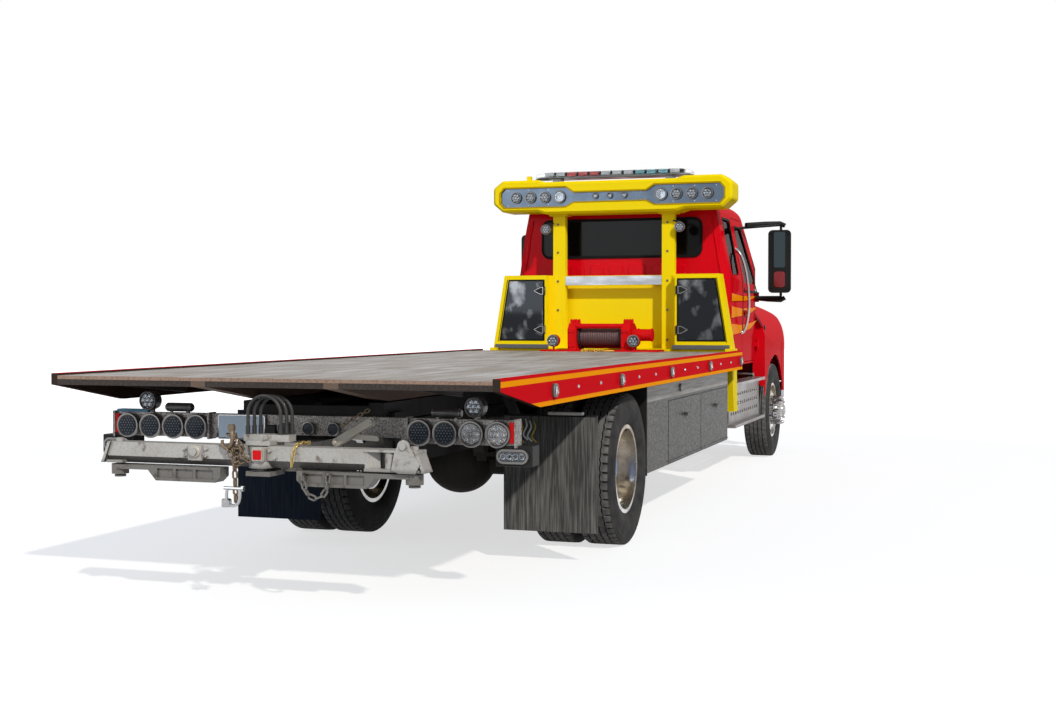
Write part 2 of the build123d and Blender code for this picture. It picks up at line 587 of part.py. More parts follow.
with BuildPart() as cab_interior:
    seat_x = CAB_REAR_X + 640
    floor = CAB_FLOOR + CAB_WALL
    for y in (-480, 480):
        block((seat_x, seat_x + 480), (y - 250, y + 250), (floor, floor + 260))
        block((seat_x - 20, seat_x + 500), (y - 260, y + 260), (floor + 255, floor + 390))
        side_shape([(seat_x - 20, floor + 380), (seat_x + 110, floor + 380),
                    (seat_x - 20, floor + 1010), (seat_x - 130, floor + 1010)], y - 250, 500)
        side_shape([(seat_x - 110, floor + 1000), (seat_x - 30, floor + 1000),
                    (seat_x - 55, floor + 1210), (seat_x - 125, floor + 1210)], y - 120, 240)
    # dashboard with the steering column and wheel
    side_shape([(CAB_FRONT_X - 60, floor + 300), (CAB_FRONT_X - 60, 1770), (CAB_FRONT_X - 330, 1720),
                (CAB_FRONT_X - 400, 1620), (CAB_FRONT_X - 330, floor + 420)], -900, 1800)
    wheel_at = Vector(CAB_FRONT_X - 640, 480, 1720)
    column = Vector(-0.62, 0, 0.78).normalized()
    rod((CAB_FRONT_X - 350, 480, 1350), tuple(wheel_at), 26)
    rim_plane = Plane(origin=wheel_at + Vector(0, 225, 0), x_dir=(0, 1, 0), z_dir=column.cross(Vector(0, 1, 0)))
    with BuildSketch(rim_plane):
        Circle(14)
    revolve(axis=Axis(tuple(wheel_at), tuple(column)))
    with BuildSketch(Plane(origin=wheel_at, z_dir=column)):
        Circle(60)
        with PolarLocations(120, 3, start_angle=90):
            Rectangle(230, 26)
    extrude(amount=14)
keep(cab_interior, "cab_interior")


# ---- hood, grille, lamps, bumper, steps ------------------------------------------------------------
HOOD_REAR_X = CAB_FRONT_X + 12
FENDER_REAR_X = REAR_AXLE_X + 6000
HOOD_NOSE_X = REAR_AXLE_X + 7590
HOOD_WALL = 14
ARCH_R = 610
HOOD_PIVOT = (REAR_AXLE_X + 7550, 850)      # x, z of the hood's hinge
HOOD_EAR_Y = 330


def hood_form(inset):
    """Sloping hood with its fenders: side, end and plan outlines crossed."""
    with BuildPart() as form:
        with BuildSketch(Plane.XZ):
            with BuildLine():
                Polyline((FENDER_REAR_X, 700), (FENDER_REAR_X, 1800), (HOOD_REAR_X, 1835),
                         (HOOD_NOSE_X - 250, 1590))
                ThreePointArc((HOOD_NOSE_X - 250, 1590), (HOOD_NOSE_X - 90, 1510), (HOOD_NOSE_X - 25, 1370))
                Polyline((HOOD_NOSE_X - 25, 1370), (HOOD_NOSE_X, 850), (HOOD_NOSE_X - 150, 850),
                         (HOOD_NOSE_X - 230, 700), (FENDER_REAR_X, 700))
            make_face()
            if inset:
                offset(amount=-inset)
        extrude(amount=1300, both=True)
        with BuildSketch(Plane.YZ):
            with BuildLine():
                Polyline((-1165, 699), (-1165, 1230))
                ThreePointArc((-1165, 1230), (-1060, 1520), (-780, 1700))
                Polyline((-780, 1700), (-600, 1836), (600, 1836), (780, 1700))
                ThreePointArc((780, 1700), (1060, 1520), (1165, 1230))
                Polyline((1165, 1230), (1165, 699), (-1165, 699))
            make_face()
            if inset:
                offset(amount=-inset)
        extrude(amount=6000, mode=Mode.INTERSECT)
        with BuildSketch(Plane.XY):
            with BuildLine():
                Polyline((FENDER_REAR_X, -1150), (FRONT_AXLE_X, -1168), (FRONT_AXLE_X + 480, -1160))
                ThreePointArc((FRONT_AXLE_X + 480, -1160), (HOOD_NOSE_X - 130, -1070), (HOOD_NOSE_X, -760))
                Line((HOOD_NOSE_X, -760), (HOOD_NOSE_X, 760))
                ThreePointArc((HOOD_NOSE_X, 760), (HOOD_NOSE_X - 130, 1070), (FRONT_AXLE_X + 480, 1160))
                Polyline((FRONT_AXLE_X + 480, 1160), (FRONT_AXLE_X, 1168), (FENDER_REAR_X, 1150),
                         (FENDER_REAR_X, -1150))
            make_face()
            if inset:
                offset(amount=-inset)
        extrude(amount=3000, mode=Mode.INTERSECT)
    return form.part


hood_outer = hood_form(0)
hood_inner = hood_form(HOOD_WALL)
GRILLE_Y, GRILLE_Z = 520, (900, 1440)
LAMP_Y, LAMP_Z = (640, 1010), (1040, 1270)

with BuildPart() as hood:
    add(hood_outer)
    add(hood_inner, mode=Mode.SUBTRACT)
    # open underneath and behind, and round the wheels
    block((FENDER_REAR_X - 5, HOOD_NOSE_X - 140), (-1140, 1140), (600, 800), mode=Mode.SUBTRACT)
    block((FENDER_REAR_X - 5, HOOD_REAR_X), (-1018, 1018), (600, 1900), mode=Mode.SUBTRACT)
    block((HOOD_REAR_X - 1, HOOD_REAR_X + HOOD_WALL + 1), (-1000, 1000), (600, 1815), mode=Mode.SUBTRACT)
    block((HOOD_NOSE_X - 260, HOOD_NOSE_X - 16), (-460, 460), (690, 900), mode=Mode.SUBTRACT)
    with BuildSketch(side_plane(1300)):
        with Locations((FRONT_AXLE_X, AXLE_Z)):
            Circle(ARCH_R)
    extrude(amount=2600, mode=Mode.SUBTRACT)
    # openings for the grille and the headlamps
    block((HOOD_NOSE_X - 130, HOOD_NOSE_X + 5), (-GRILLE_Y, GRILLE_Y), GRILLE_Z, mode=Mode.SUBTRACT)
    for side in (1, -1):
        opening = sorted((side * LAMP_Y[0], side * LAMP_Y[1]))
        block((HOOD_NOSE_X - 400, HOOD_NOSE_X + 5), opening, LAMP_Z, mode=Mode.SUBTRACT)
    # hinge ears under the nose
    for side in (1, -1):
        ear = sorted((side * HOOD_EAR_Y, side * (HOOD_EAR_Y + 30)))
        block((HOOD_PIVOT[0] - 18, HOOD_NOSE_X - 12), ear, (HOOD_PIVOT[1] - 18, HOOD_PIVOT[1] + 45))
    rod((HOOD_PIVOT[0], -400, HOOD_PIVOT[1]), (HOOD_PIVOT[0], 400, HOOD_PIVOT[1]), 11, mode=Mode.SUBTRACT)
keep(hood, "hood")

with BuildPart() as grille:
    gx = HOOD_NOSE_X - 60
    with BuildSketch(cross_plane(gx)):
        with Locations((0, sum(GRILLE_Z) / 2)):
            Rectangle(2 * GRILLE_Y, GRILLE_Z[1] - GRILLE_Z[0])
            Rectangle(2 * GRILLE_Y - 86, GRILLE_Z[1] - GRILLE_Z[0] - 86, mode=Mode.SUBTRACT)
            with GridLocations(0, 74, 1, 6):
                Rectangle(2 * GRILLE_Y - 80, 26)
            with GridLocations(230, 0, 4, 1):
                Rectangle(14, GRILLE_Z[1] - GRILLE_Z[0] - 80)
    extrude(amount=50)
keep(grille, "grille")

with BuildPart() as headlamps:
    for side in (1, -1):
        y0, y1 = sorted((side * LAMP_Y[0], side * LAMP_Y[1]))
        block((HOOD_NOSE_X - 330, HOOD_NOSE_X), (y0, y1), LAMP_Z)
    add(hood_form(3), mode=Mode.INTERSECT)
keep(headlamps, "headlamps")

BUMPER_Z = (470, 790)
TOW_EYE = (BUMPER_X - 55, 385, 432)         # middle of each tow eye's bore
TOW_EYE_R, TOW_EYE_T = 19, 24
with BuildPart() as front_bumper:
    with BuildSketch(Plane.XY.offset(BUMPER_Z[0])):
        with BuildLine():
            Polyline((BUMPER_X - 330, 1150), (BUMPER_X - 60, 1010))
            ThreePointArc((BUMPER_X - 60, 1010), (BUMPER_X, 0), (BUMPER_X - 60, -1010))
            Polyline((BUMPER_X - 60, -1010), (BUMPER_X - 330, -1150), (BUMPER_X - 345, -1120),
                     (BUMPER_X - 90, -990))
            ThreePointArc((BUMPER_X - 90, -990), (BUMPER_X - 32, 0), (BUMPER_X - 90, 990))
            Polyline((BUMPER_X - 90, 990), (BUMPER_X - 345, 1120), (BUMPER_X - 330, 1150))
        make_face()
    extrude(amount=BUMPER_Z[1] - BUMPER_Z[0])
    for side in (1, -1):
        y0, y1 = sorted((side * 345, side * 425))
        block((FRAME_FRONT_X, BUMPER_X - 40), (y0, y1), (720, 780))
        # tow eye below the bumper
        eye_x, eye_y, eye_z = TOW_EYE
        side_shape([(eye_x - 190, 722), (eye_x - 190, 560), (eye_x - 45, eye_z - 42), (eye_x + 40, eye_z - 42),
                    (eye_x + 40, eye_z + 42), (eye_x - 60, eye_z + 150), (eye_x - 60, 722)],
                   side * eye_y - TOW_EYE_T / 2, TOW_EYE_T)
        rod((eye_x, side * (eye_y - TOW_EYE_T), eye_z), (eye_x, side * (eye_y + TOW_EYE_T), eye_z), TOW_EYE_R,
            mode=Mode.SUBTRACT)
        # lug and pin of the hood's hinge
        lug = sorted((side * (HOOD_EAR_Y + 36), side * (HOOD_EAR_Y + 54)))
        block((HOOD_PIVOT[0] - 16, HOOD_PIVOT[0] + 8), lug, (775, HOOD_PIVOT[1] + 14))
        rod((HOOD_PIVOT[0], side * (HOOD_EAR_Y - 6), HOOD_PIVOT[1]),
            (HOOD_PIVOT[0], side * (HOOD_EAR_Y + 54), HOOD_PIVOT[1]), 10)
keep(front_bumper, "front_bumper")

STEP_X = (REAR_AXLE_X + 4200, REAR_AXLE_X + 5925)
with BuildPart() as side_steps:
    for side in (1, -1):
        riser = sorted((side * 1085, side * 1097))
        block(STEP_X, riser, (500, 890))
        for z, depth in ((890, 165), (490, 145)):
            tread = sorted((side * (1165 - depth), side * 1165))
            block(STEP_X, tread, (z - 14, z + 14))
        for x in (STEP_X[0] + 150, STEP_X[1] - 330):
            bracket = sorted((side * (FRAME_Y + 1), side * 1088))
            block((x, x + 36), bracket, (936, 953))
            block((x, x + 36), riser, (880, 953))
    with BuildSketch(side_plane(1200)):
        with Locations((sum(STEP_X) / 2, 690)):
            with GridLocations(120, 90, 13, 3):
                SlotOverall(70, 30)
    extrude(amount=2400, mode=Mode.SUBTRACT)
keep(side_steps, "side_steps")


# ---- headboard, pylon and light bar ----------------------------------------------------------------
SIDE_PANEL = [(635, HEAD_BOTTOM), (1183, HEAD_BOTTOM), (1067, HEAD_TOP), (635, HEAD_TOP)]
SIDE_DOOR = [(660, HEAD_BOTTOM + 75), (1118, HEAD_BOTTOM + 75), (1022, HEAD_TOP - 45), (660, HEAD_TOP - 45)]
HEAD_DOOR_GAP = 5
LEG_Y = (1130, 1195)

with BuildPart() as headboard:
    for side in (1, -1):
        # side cabinet: a shallow open box behind the door
        cross_shape([(side * y, z) for y, z in SIDE_PANEL], HEAD_X, 150)
        with BuildSketch(cross_plane(HEAD_X - 1)) as mouth:
            with BuildLine():
                Polyline(*[(side * y, z) for y, z in SIDE_DOOR], close=True)
            make_face()
            offset(amount=HEAD_DOOR_GAP)
        extrude(mouth.sketch, amount=136, mode=Mode.SUBTRACT)
        # post, its foot on the frame, and its cap under the pylon
        post = sorted((side * POST_Y[0], side * POST_Y[1]))
        block((POST_X, POST_X + 70), post, (HEAD_BOTTOM - 60, 2520))
        cap = sorted((side * (POST_Y[0] - 30), side * (POST_Y[1] + 30)))
        block((POST_X - 30, POST_X + 110), cap, (2520, 2535))
        # cheek between the post and the back of the winch recess
        cheek = sorted((side * (POST_Y[1] - 12), side * (POST_Y[1] + 32)))
        block((POST_X - 20, HEAD_BACK_X), cheek, (HEAD_BOTTOM, HEAD_TOP))
        foot = sorted((side * FRAME_Y, side * (POST_Y[1] - 12)))
        block((POST_X, POST_X + 70), foot, (870, HEAD_BOTTOM - 60))
        # sloped leg down the side
        leg = sorted((side * LEG_Y[0], side * LEG_Y[1]))
        side_shape([(REAR_AXLE_X + 3930, HEAD_BOTTOM + 3), (REAR_AXLE_X + 3845, 1240),
                    (REAR_AXLE_X + 3845, 1060), (REAR_AXLE_X + 3950, 650), (REAR_AXLE_X + 4140, 650),
                    (REAR_AXLE_X + 4070, HEAD_BOTTOM + 3)], leg[0], leg[1] - leg[0])
    block((HEAD_BACK_X - 8, HEAD_BACK_X), (-POST_Y[1], POST_Y[1]), (HEAD_BOTTOM, HEAD_TOP))
    # sill across the front of the deck, and the bar between the posts
    block((HEAD_X + 5, HEAD_BACK_X), (-1183, 1183), (HEAD_BOTTOM - 62, HEAD_BOTTOM))
    block((POST_X + 2, POST_X + 14), (-POST_Y[0] - 1, POST_Y[0] + 1), (1845, 1935))
keep(headboard, "headboard")

with BuildPart() as headboard_door:
    with BuildSketch(cross_plane(HEAD_X - 4)):
        with BuildLine():
            Polyline(*SIDE_DOOR, close=True)
        make_face()
    extrude(amount=14)
    for z in (HEAD_BOTTOM + 180, HEAD_TOP - 150):
        rod((HEAD_X - 11, 652, z - 35), (HEAD_X - 11, 652, z + 35), 8)
        block((HEAD_X - 10, HEAD_X - 4), (652, 730), (z - 28, z + 28))
    # slam latch at the free edge
    rod((HEAD_X - 14, 1035, 1600), (HEAD_X - 4, 1035, 1600), 26)
keep_pair(headboard_door, "headboard_door")

PYLON_OUTLINE = [(0, 2535), (650, 2535), (720, 2560), (1085, 2560), (1180, 2640), (1180, 2795),
                 (1085, 2868), (720, 2868), (650, 2845), (0, 2845)]
INSERT_OUTLINE = [(0, 2648), (360, 2648), (440, 2605), (1065, 2605), (1105, 2650), (1105, 2745),
                  (1065, 2790), (440, 2790), (360, 2738), (0, 2738)]
INSERT_DEPTH = 28


def both_halves(points):
    """An outline given for the left half, closed through its mirror image."""
    return points + [(-y, z) for y, z in reversed(points[1:-1])]


with BuildPart() as pylon:
    with BuildSketch(cross_plane(PYLON_X[0])):
        with BuildLine():
            Polyline(*both_halves(PYLON_OUTLINE), close=True)
        make_face()
        fillet(vertices().filter_by(lambda v: abs(v.X) > 1000), 45)
    extrude(amount=PYLON_X[1] - PYLON_X[0])
    chamfer(pylon.faces().sort_by(Axis.X)[0].edges() + pylon.faces().sort_by(Axis.X)[-1].edges(), 22)
    with BuildSketch(cross_plane(PYLON_X[0] - 1)):
        with BuildLine():
            Polyline(*both_halves(INSERT_OUTLINE), close=True)
        make_face()
    extrude(amount=INSERT_DEPTH + 1, mode=Mode.SUBTRACT)
keep(pylon, "pylon")

# Pylon lamps: distance from the middle, bezel radius
PYLON_LAMPS = ((946, 56), (798, 56), (650, 56), (502, 56), (143, 30))
PYLON_LAMP_Z = 2698
with BuildPart() as pylon_lamps:
    lamp_x = PYLON_X[0] + INSERT_DEPTH
    with BuildSketch(cross_plane(lamp_x - 6)):
        with BuildLine():
            Polyline(*both_halves(INSERT_OUTLINE), close=True)
        make_face()
        offset(amount=-2)
    extrude(amount=5.5)
    for y, r in PYLON_LAMPS + ((0, 30),):
        for side in ((1, -1) if y else (1,)):
            rod((lamp_x - 24, side * y, PYLON_LAMP_Z), (lamp_x - 5, side * y, PYLON_LAMP_Z), r)
    # work lamps beside the posts, each on a bent stalk
    for side in (1, -1):
        work_y, work_z = side * (POST_Y[1] + 60), 2390
        rod((POST_X - 55, work_y, work_z), (POST_X - 15, work_y, work_z), 50)
        rod((POST_X - 20, work_y, work_z), (POST_X + 25, work_y, work_z), 10)
        rod((POST_X + 25, side * POST_Y[1], work_z), (POST_X + 25, work_y, work_z), 10)
        with Locations((POST_X + 25, work_y, work_z)):
            Sphere(10)
keep(pylon_lamps, "pylon_lamps")

with BuildPart() as light_bar:
    mid_x = POST_X + 30
    with BuildSketch(Plane.XY.offset(2884)):
        with Locations((mid_x, 0)):
            RectangleRounded(300, 1580, 110)
    extrude(amount=68)
    fillet(light_bar.edges().group_by(Axis.Z)[-1], 24)
    for y in (-560, 560):
        block((mid_x - 60, mid_x + 60), (y - 40, y + 40), (2846, 2886))
keep(light_bar, "light_bar")


# ---- toolboxes and mud flaps -------------------------------------------------------------------------
BOX_DOORS = (("rear", TOOLBOX_SEAMS[0], TOOLBOX_SEAMS[1]), ("front", TOOLBOX_SEAMS[1], TOOLBOX_X[1]))
DOOR_EDGE = 30                  # frame left round each toolbox door
BOX_DOOR_GAP = 4
LID_HINGE_Y = TOOLBOX_Y[1] + 6.5


def box_opening(x0, x1, gap):
    return (x0 + DOOR_EDGE - gap, x1 - DOOR_EDGE + gap), (TOOLBOX_Z[0] + 20 - gap, TOOLBOX_Z[1] - 25 + gap)


with BuildPart() as toolbox:
    block(TOOLBOX_X, TOOLBOX_Y, TOOLBOX_Z)
    bays = (TOOLBOX_X[0],) + TOOLBOX_SEAMS + (TOOLBOX_X[1],)
    for x0, x1 in zip(bays, bays[1:]):
        block((x0 + TOOLBOX_WALL, x1 - TOOLBOX_WALL / 2),
              (TOOLBOX_Y[0] + TOOLBOX_WALL, TOOLBOX_Y[1] - TOOLBOX_WALL),
              (TOOLBOX_Z[0] + TOOLBOX_WALL, TOOLBOX_Z[1] - TOOLBOX_WALL), mode=Mode.SUBTRACT)
    for name, x0, x1 in BOX_DOORS:
        x, z = box_opening(x0, x1, BOX_DOOR_GAP)
        block(x, (TOOLBOX_Y[1] - TOOLBOX_WALL - 1, TOOLBOX_Y[1] + 1), z, mode=Mode.SUBTRACT)
    # polished strip above and the hangers to the frame
    block(TOOLBOX_X, (TOOLBOX_Y[1] - 12, TOOLBOX_Y[1]), (TOOLBOX_Z[1], 1035))
    block(TOOLBOX_X, (TOOLBOX_Y[1] - 60, TOOLBOX_Y[1]), (1023, 1035))
    rod((REAR_AXLE_X + 1620, TOOLBOX_Y[1] - 1, 986), (REAR_AXLE_X + 1620, TOOLBOX_Y[1] + 14, 986), 30)
    for x in (TOOLBOX_SEAMS[0] + 170, TOOLBOX_SEAMS[1] + 20, TOOLBOX_X[1] - 300):
        block((x, x + 60), (FRAME_Y + 1, TOOLBOX_Y[0] + 200), (TOOLBOX_Z[1], FRAME_TOP - 2))
        block((x, x + 60), (FRAME_Y + 1, TOOLBOX_Y[0] + 1), (FRAME_TOP - 220, TOOLBOX_Z[1] + 1))
keep_pair(toolbox, "toolbox")

for name, x0, x1 in BOX_DOORS:
    with BuildPart() as box_door:
        x, z = box_opening(x0, x1, 0)
        block(x, (TOOLBOX_Y[1] - 18, TOOLBOX_Y[1] + 2), z)
        # barrel of the long hinge at its foot
        rod((x[0], LID_HINGE_Y, z[0]), (x[1], LID_HINGE_Y, z[0]), 6)
        # T handle near the top edge
        middle = (x0 + x1) / 2
        rod((middle, TOOLBOX_Y[1], z[1] - 130), (middle, TOOLBOX_Y[1] + 34, z[1] - 130), 12)
        block((middle - 60, middle + 60), (TOOLBOX_Y[1] + 22, TOOLBOX_Y[1] + 38), (z[1] - 142, z[1] - 118))
    keep_pair(box_door, f"toolbox_{name}_door")

FLAP_X = REAR_AXLE_X - 898
with BuildPart() as mud_flaps:
    for side in (1, -1):
        y0, y1 = sorted((side * 638, side * 1248))
        block((FLAP_X - 6, FLAP_X + 6), (y0, y1), (200, 915))
        arm = sorted((side * (FRAME_Y + 1), side * 1200))
        rod((FLAP_X + 24, arm[0], 890), (FLAP_X + 24, arm[1], 890), 18)
keep(mud_flaps, "mud_flaps")


# ---- tilting frame --------------------------------------------------------------------------------
# Lift cylinder, beside the boom: top pin on the tilting frame, eye on the boom
LIFT_CYL_TOP = (REAR_AXLE_X - 1450, 950)
LIFT_CYL_EYE = (REAR_AXLE_X - 1990, 850)
LIFT_CYL_Y = -170

with BuildPart() as tilt_frame:
    for side in (1, -1):
        y0, y1 = sorted((side * TILT_FRAME_Y[0], side * TILT_FRAME_Y[1]))
        block((TILT_FRAME_REAR_X, TILT_FRAME_FRONT_X), (y0, y1), TILT_FRAME_Z)
        # hinge ear with its bore, outside the chassis lug
        ear = sorted((side * (FRAME_Y + 6), side * (FRAME_Y + 36)))
        pad = sorted((side * (FRAME_Y - 30), side * (FRAME_Y + 36)))
        block((TILT_X - 60, TILT_X + 90), pad, (TILT_FRAME_Z[0] + 10, TILT_FRAME_Z[0] + 45))
        side_shape([(TILT_X - 60, TILT_FRAME_Z[0] + 20), (TILT_X - 50, TILT_Z - 45), (TILT_X + 50, TILT_Z - 45),
                    (TILT_X + 90, TILT_FRAME_Z[0] + 20)], ear[0], ear[1] - ear[0])
        rod((TILT_X, side * (FRAME_Y - 20), TILT_Z), (TILT_X, side * (FRAME_Y + 60), TILT_Z), 26,
            mode=Mode.SUBTRACT)
        # plate that the tilt cylinder's eye bears on
        plate = sorted((side * (FRAME_Y - 6), side * (FRAME_Y + 14)))
        x = REAR_AXLE_X + 1150
        side_shape([(x - 90, 1060), (x - 45, 972), (x + 45, 972), (x + 90, 1060)],
                   plate[0], plate[1] - plate[0])
    for x in (TILT_FRAME_REAR_X, REAR_AXLE_X - 1000, REAR_AXLE_X + 200, REAR_AXLE_X + 1400,
              REAR_AXLE_X + 2600, TILT_FRAME_FRONT_X - 80):
        block((x, x + 80), (-TILT_FRAME_Y[0] - 2, TILT_FRAME_Y[0] + 2),
              (TILT_FRAME_Z[0] + 15, TILT_FRAME_Z[1] - 20))
    # slide cylinder along the middle
    rod((TILT_FRAME_REAR_X + 70, 0, 1012), (TILT_FRAME_FRONT_X - 70, 0, 1012), 44)
    # hangers of the lift boom
    for y in (-125, 95):
        side_shape([(LIFT_PIVOT_X - 60, 1000), (LIFT_PIVOT_X - 60, LIFT_Z - 60), (LIFT_PIVOT_X + 60, LIFT_Z - 60),
                    (LIFT_PIVOT_X + 100, 1000)], y, 30)
    block((LIFT_PIVOT_X - 60, LIFT_PIVOT_X + 100), (-TILT_FRAME_Y[0] - 2, TILT_FRAME_Y[0] + 2), (980, 1040))
    rod((LIFT_PIVOT_X, -125, LIFT_Z), (LIFT_PIVOT_X, 125, LIFT_Z), 22)
    # cross bar, lugs and pin that hold the top of the lift cylinder
    top_x, top_z = LIFT_CYL_TOP
    block((top_x - 40, top_x + 40), (-TILT_FRAME_Y[0] - 2, TILT_FRAME_Y[0] + 2), (990, 1040))
    for y in (LIFT_CYL_Y - 58, LIFT_CYL_Y + 43):
        side_shape([(top_x - 35, 1000), (top_x - 30, top_z - 30), (top_x + 30, top_z - 30), (top_x + 35, 1000)],
                   y, 15)
    rod((top_x, LIFT_CYL_Y - 58, top_z), (top_x, LIFT_CYL_Y + 58, top_z), 18)
keep(tilt_frame, "tilt_frame")

# Tail lamps: distance from the middle and bezel radius
TAIL_LAMPS = ((1118, 63), (970, 63), (822, 63), (675, 63))
TAIL_LAMP_Z = 918
ID_LAMPS_Y = (131, -21, -172)
with BuildPart() as tail_light_bar:
    block((LIGHT_BAR_X + 8, LIGHT_BAR_X + 60), (-1222, 1222), (858, 992))
    # the middle of the bar is shallower, over the boom
    block((LIGHT_BAR_X, LIGHT_BAR_X + 70), (-560, 560), (850, 884), mode=Mode.SUBTRACT)
    for side in (1, -1):
        for y in (594, 1208):
            plate = sorted((side * y, side * (y + 14)))
            block((LIGHT_BAR_X - 14, LIGHT_BAR_X + 62), plate, (850, 998))
        # arm that carries the bar from the tilting frame
        arm = sorted((side * 350, side * 410))
        block((LIGHT_BAR_X + 40, TILT_FRAME_REAR_X + 60), arm, (900, TILT_FRAME_Z[0]))
        # side lamp box under the bar's end
        low_box = sorted((side * 1105, side * 1290))
        block((LIGHT_BAR_X + 12, LIGHT_BAR_X + 110), low_box, (760, 852))
        bracket = sorted((side * 1180, side * 1216))
        block((LIGHT_BAR_X + 14, LIGHT_BAR_X + 58), bracket, (850, 862))
    block((LIGHT_BAR_X - 6, LIGHT_BAR_X + 10), (245, 540), (854, 991))
    for side in (1, -1):
        for y, r in TAIL_LAMPS:
            rod((LIGHT_BAR_X - 22, side * y, TAIL_LAMP_Z), (LIGHT_BAR_X + 9, side * y, TAIL_LAMP_Z), r)
        # round work lamp on its stem
        rod((LIGHT_BAR_X - 6, side * 988, 1058), (LIGHT_BAR_X + 46, side * 988, 1058), 52)
        rod((LIGHT_BAR_X + 30, side * 988, 985), (LIGHT_BAR_X + 30, side * 988, 1012), 16)
        # lying lamp on two short feet
        rod((LIGHT_BAR_X + 36, side * 736, 1022), (LIGHT_BAR_X + 36, side * 890, 1022), 24)
        for y in (760, 866):
            rod((LIGHT_BAR_X + 36, side * y, 988), (LIGHT_BAR_X + 36, side * y, 1015), 9)
        # oval lamp on the low box
        with BuildSketch(cross_plane(LIGHT_BAR_X - 10)) as oval:
            with Locations((side * 1197, 805)):
                SlotOverall(170, 72)
        extrude(oval.sketch, amount=24)
    for y in ID_LAMPS_Y:
        rod((LIGHT_BAR_X - 14, y, 925), (LIGHT_BAR_X + 9, y, 925), 32)
keep(tail_light_bar, "tail_light_bar")


# ---- tilt cylinders ---------------------------------------------------------------------------------
CYL_FOOT = (REAR_AXLE_X - 250, 790)
CYL_EYE = (REAR_AXLE_X + 1150, 1015)
CYL_Y = 500
cyl_length = hypot(CYL_EYE[0] - CYL_FOOT[0], CYL_EYE[1] - CYL_FOOT[1])
cyl_way = ((CYL_EYE[0] - CYL_FOOT[0]) / cyl_length, (CYL_EYE[1] - CYL_FOOT[1]) / cyl_length)


def along_cylinder(distance, y):
    """A point on the tilt cylinder's axis, distance from its foot pin."""
    return (CYL_FOOT[0] + cyl_way[0] * distance, y, CYL_FOOT[1] + cyl_way[1] * distance)


with BuildPart() as tilt_barrels:
    for side in (1, -1):
        y = side * CYL_Y
        rod((CYL_FOOT[0], y - 22, CYL_FOOT[1]), (CYL_FOOT[0], y + 22, CYL_FOOT[1]), 46)
        rod(along_cylinder(40, y), along_cylinder(1180, y), 48)
        rod(along_cylinder(1150, y), along_cylinder(1190, y), 54)
        rod((CYL_FOOT[0], y - 30, CYL_FOOT[1]), (CYL_FOOT[0], y + 30, CYL_FOOT[1]), 25, mode=Mode.SUBTRACT)
        rod(along_cylinder(60, y), along_cylinder(1200, y), 31, mode=Mode.SUBTRACT)
keep(tilt_barrels, "tilt_barrels")

with BuildPart() as tilt_rods:
    for side in (1, -1):
        y = side * CYL_Y
        rod(along_cylinder(150, y), along_cylinder(cyl_length - 30, y), 28)
        eye = sorted((side * (FRAME_Y + 20), side * (CYL_Y + 26)))
        rod((CYL_EYE[0], eye[0], CYL_EYE[1]), (CYL_EYE[0], eye[1], CYL_EYE[1]), 24)
        rod((CYL_EYE[0], side * CYL_Y - 22, CYL_EYE[1]), (CYL_EYE[0], side * CYL_Y + 22, CYL_EYE[1]), 42)
keep(tilt_rods, "tilt_rods")


# ---- deck --------------------------------------------------------------------------------------------
PAN_X = REAR_AXLE_X + 3440      # where the floor steps down to the winch's pan
PAN_DROP = 2
deck_bevel = [(DECK_TAIL_X, TAIL_Z), (BEVEL_X, RAIL_BOTTOM), (DECK_FRONT_X, RAIL_BOTTOM)]
with BuildPart() as deck_floor:
    # floor plate, then the pan a little lower that the winch stands on
    block((DECK_TAIL_X, PAN_X), (-DECK_HALF + RAIL_W, DECK_HALF - RAIL_W), (DECK_TOP - DECK_PLATE, DECK_TOP))
    block((PAN_X - 1, DECK_FRONT_X), (-DECK_HALF + RAIL_W, DECK_HALF - RAIL_W),
          (DECK_TOP - DECK_PLATE - PAN_DROP, DECK_TOP - PAN_DROP))
    block((DECK_TAIL_X, DECK_TAIL_X + 60), (-DECK_HALF + RAIL_W, DECK_HALF - RAIL_W), (TAIL_Z, DECK_TOP - 3))
    for side in (1, -1):
        y0, y1 = sorted((side * SILL_Y[0], side * SILL_Y[1]))
        side_shape([(DECK_TAIL_X + 10, TAIL_Z), (BEVEL_X, SILL_Z), (DECK_FRONT_X, SILL_Z),
                    (DECK_FRONT_X, DECK_TOP - 3), (DECK_TAIL_X + 10, DECK_TOP - 3)], y0, y1 - y0)
        side_shape([(DECK_TAIL_X + 10, TAIL_Z), (BEVEL_X, SILL_Z + 30), (BEVEL_X + 60, DECK_TOP - 3),
                    (DECK_TAIL_X + 10, DECK_TOP - 3)], side * 850 - 5, 10)
    rib_x = BEVEL_X + 30
    while rib_x < DECK_FRONT_X - 100:
        block((rib_x, rib_x + 50), (-DECK_HALF + RAIL_W, DECK_HALF - RAIL_W), (DECK_TOP - 66, DECK_TOP - 3))
        rib_x += 400
    block((DECK_FRONT_X - 60, DECK_FRONT_X), (-DECK_HALF + RAIL_W, DECK_HALF - RAIL_W), (SILL_Z, DECK_TOP - 3))
keep(deck_floor, "deck_floor")

# Side rail lamps: distance ahead of the rear axle, radius, how far each stands out
RAIL_LAMP_PITCH = 1414
RAIL_LAMP_X0 = REAR_AXLE_X - 1952
RAIL_LAMP_Z = 1134
with BuildPart() as deck_rails:
    for side in (1, -1):
        y0, y1 = sorted((side * (DECK_HALF - RAIL_W), side * DECK_HALF))
        side_shape([(DECK_TAIL_X, RAIL_TOP), (DECK_TAIL_X, TAIL_Z)] + deck_bevel[1:] +
                   [(DECK_FRONT_X, RAIL_TOP)], y0, RAIL_W)
keep(deck_rails, "deck_rails")

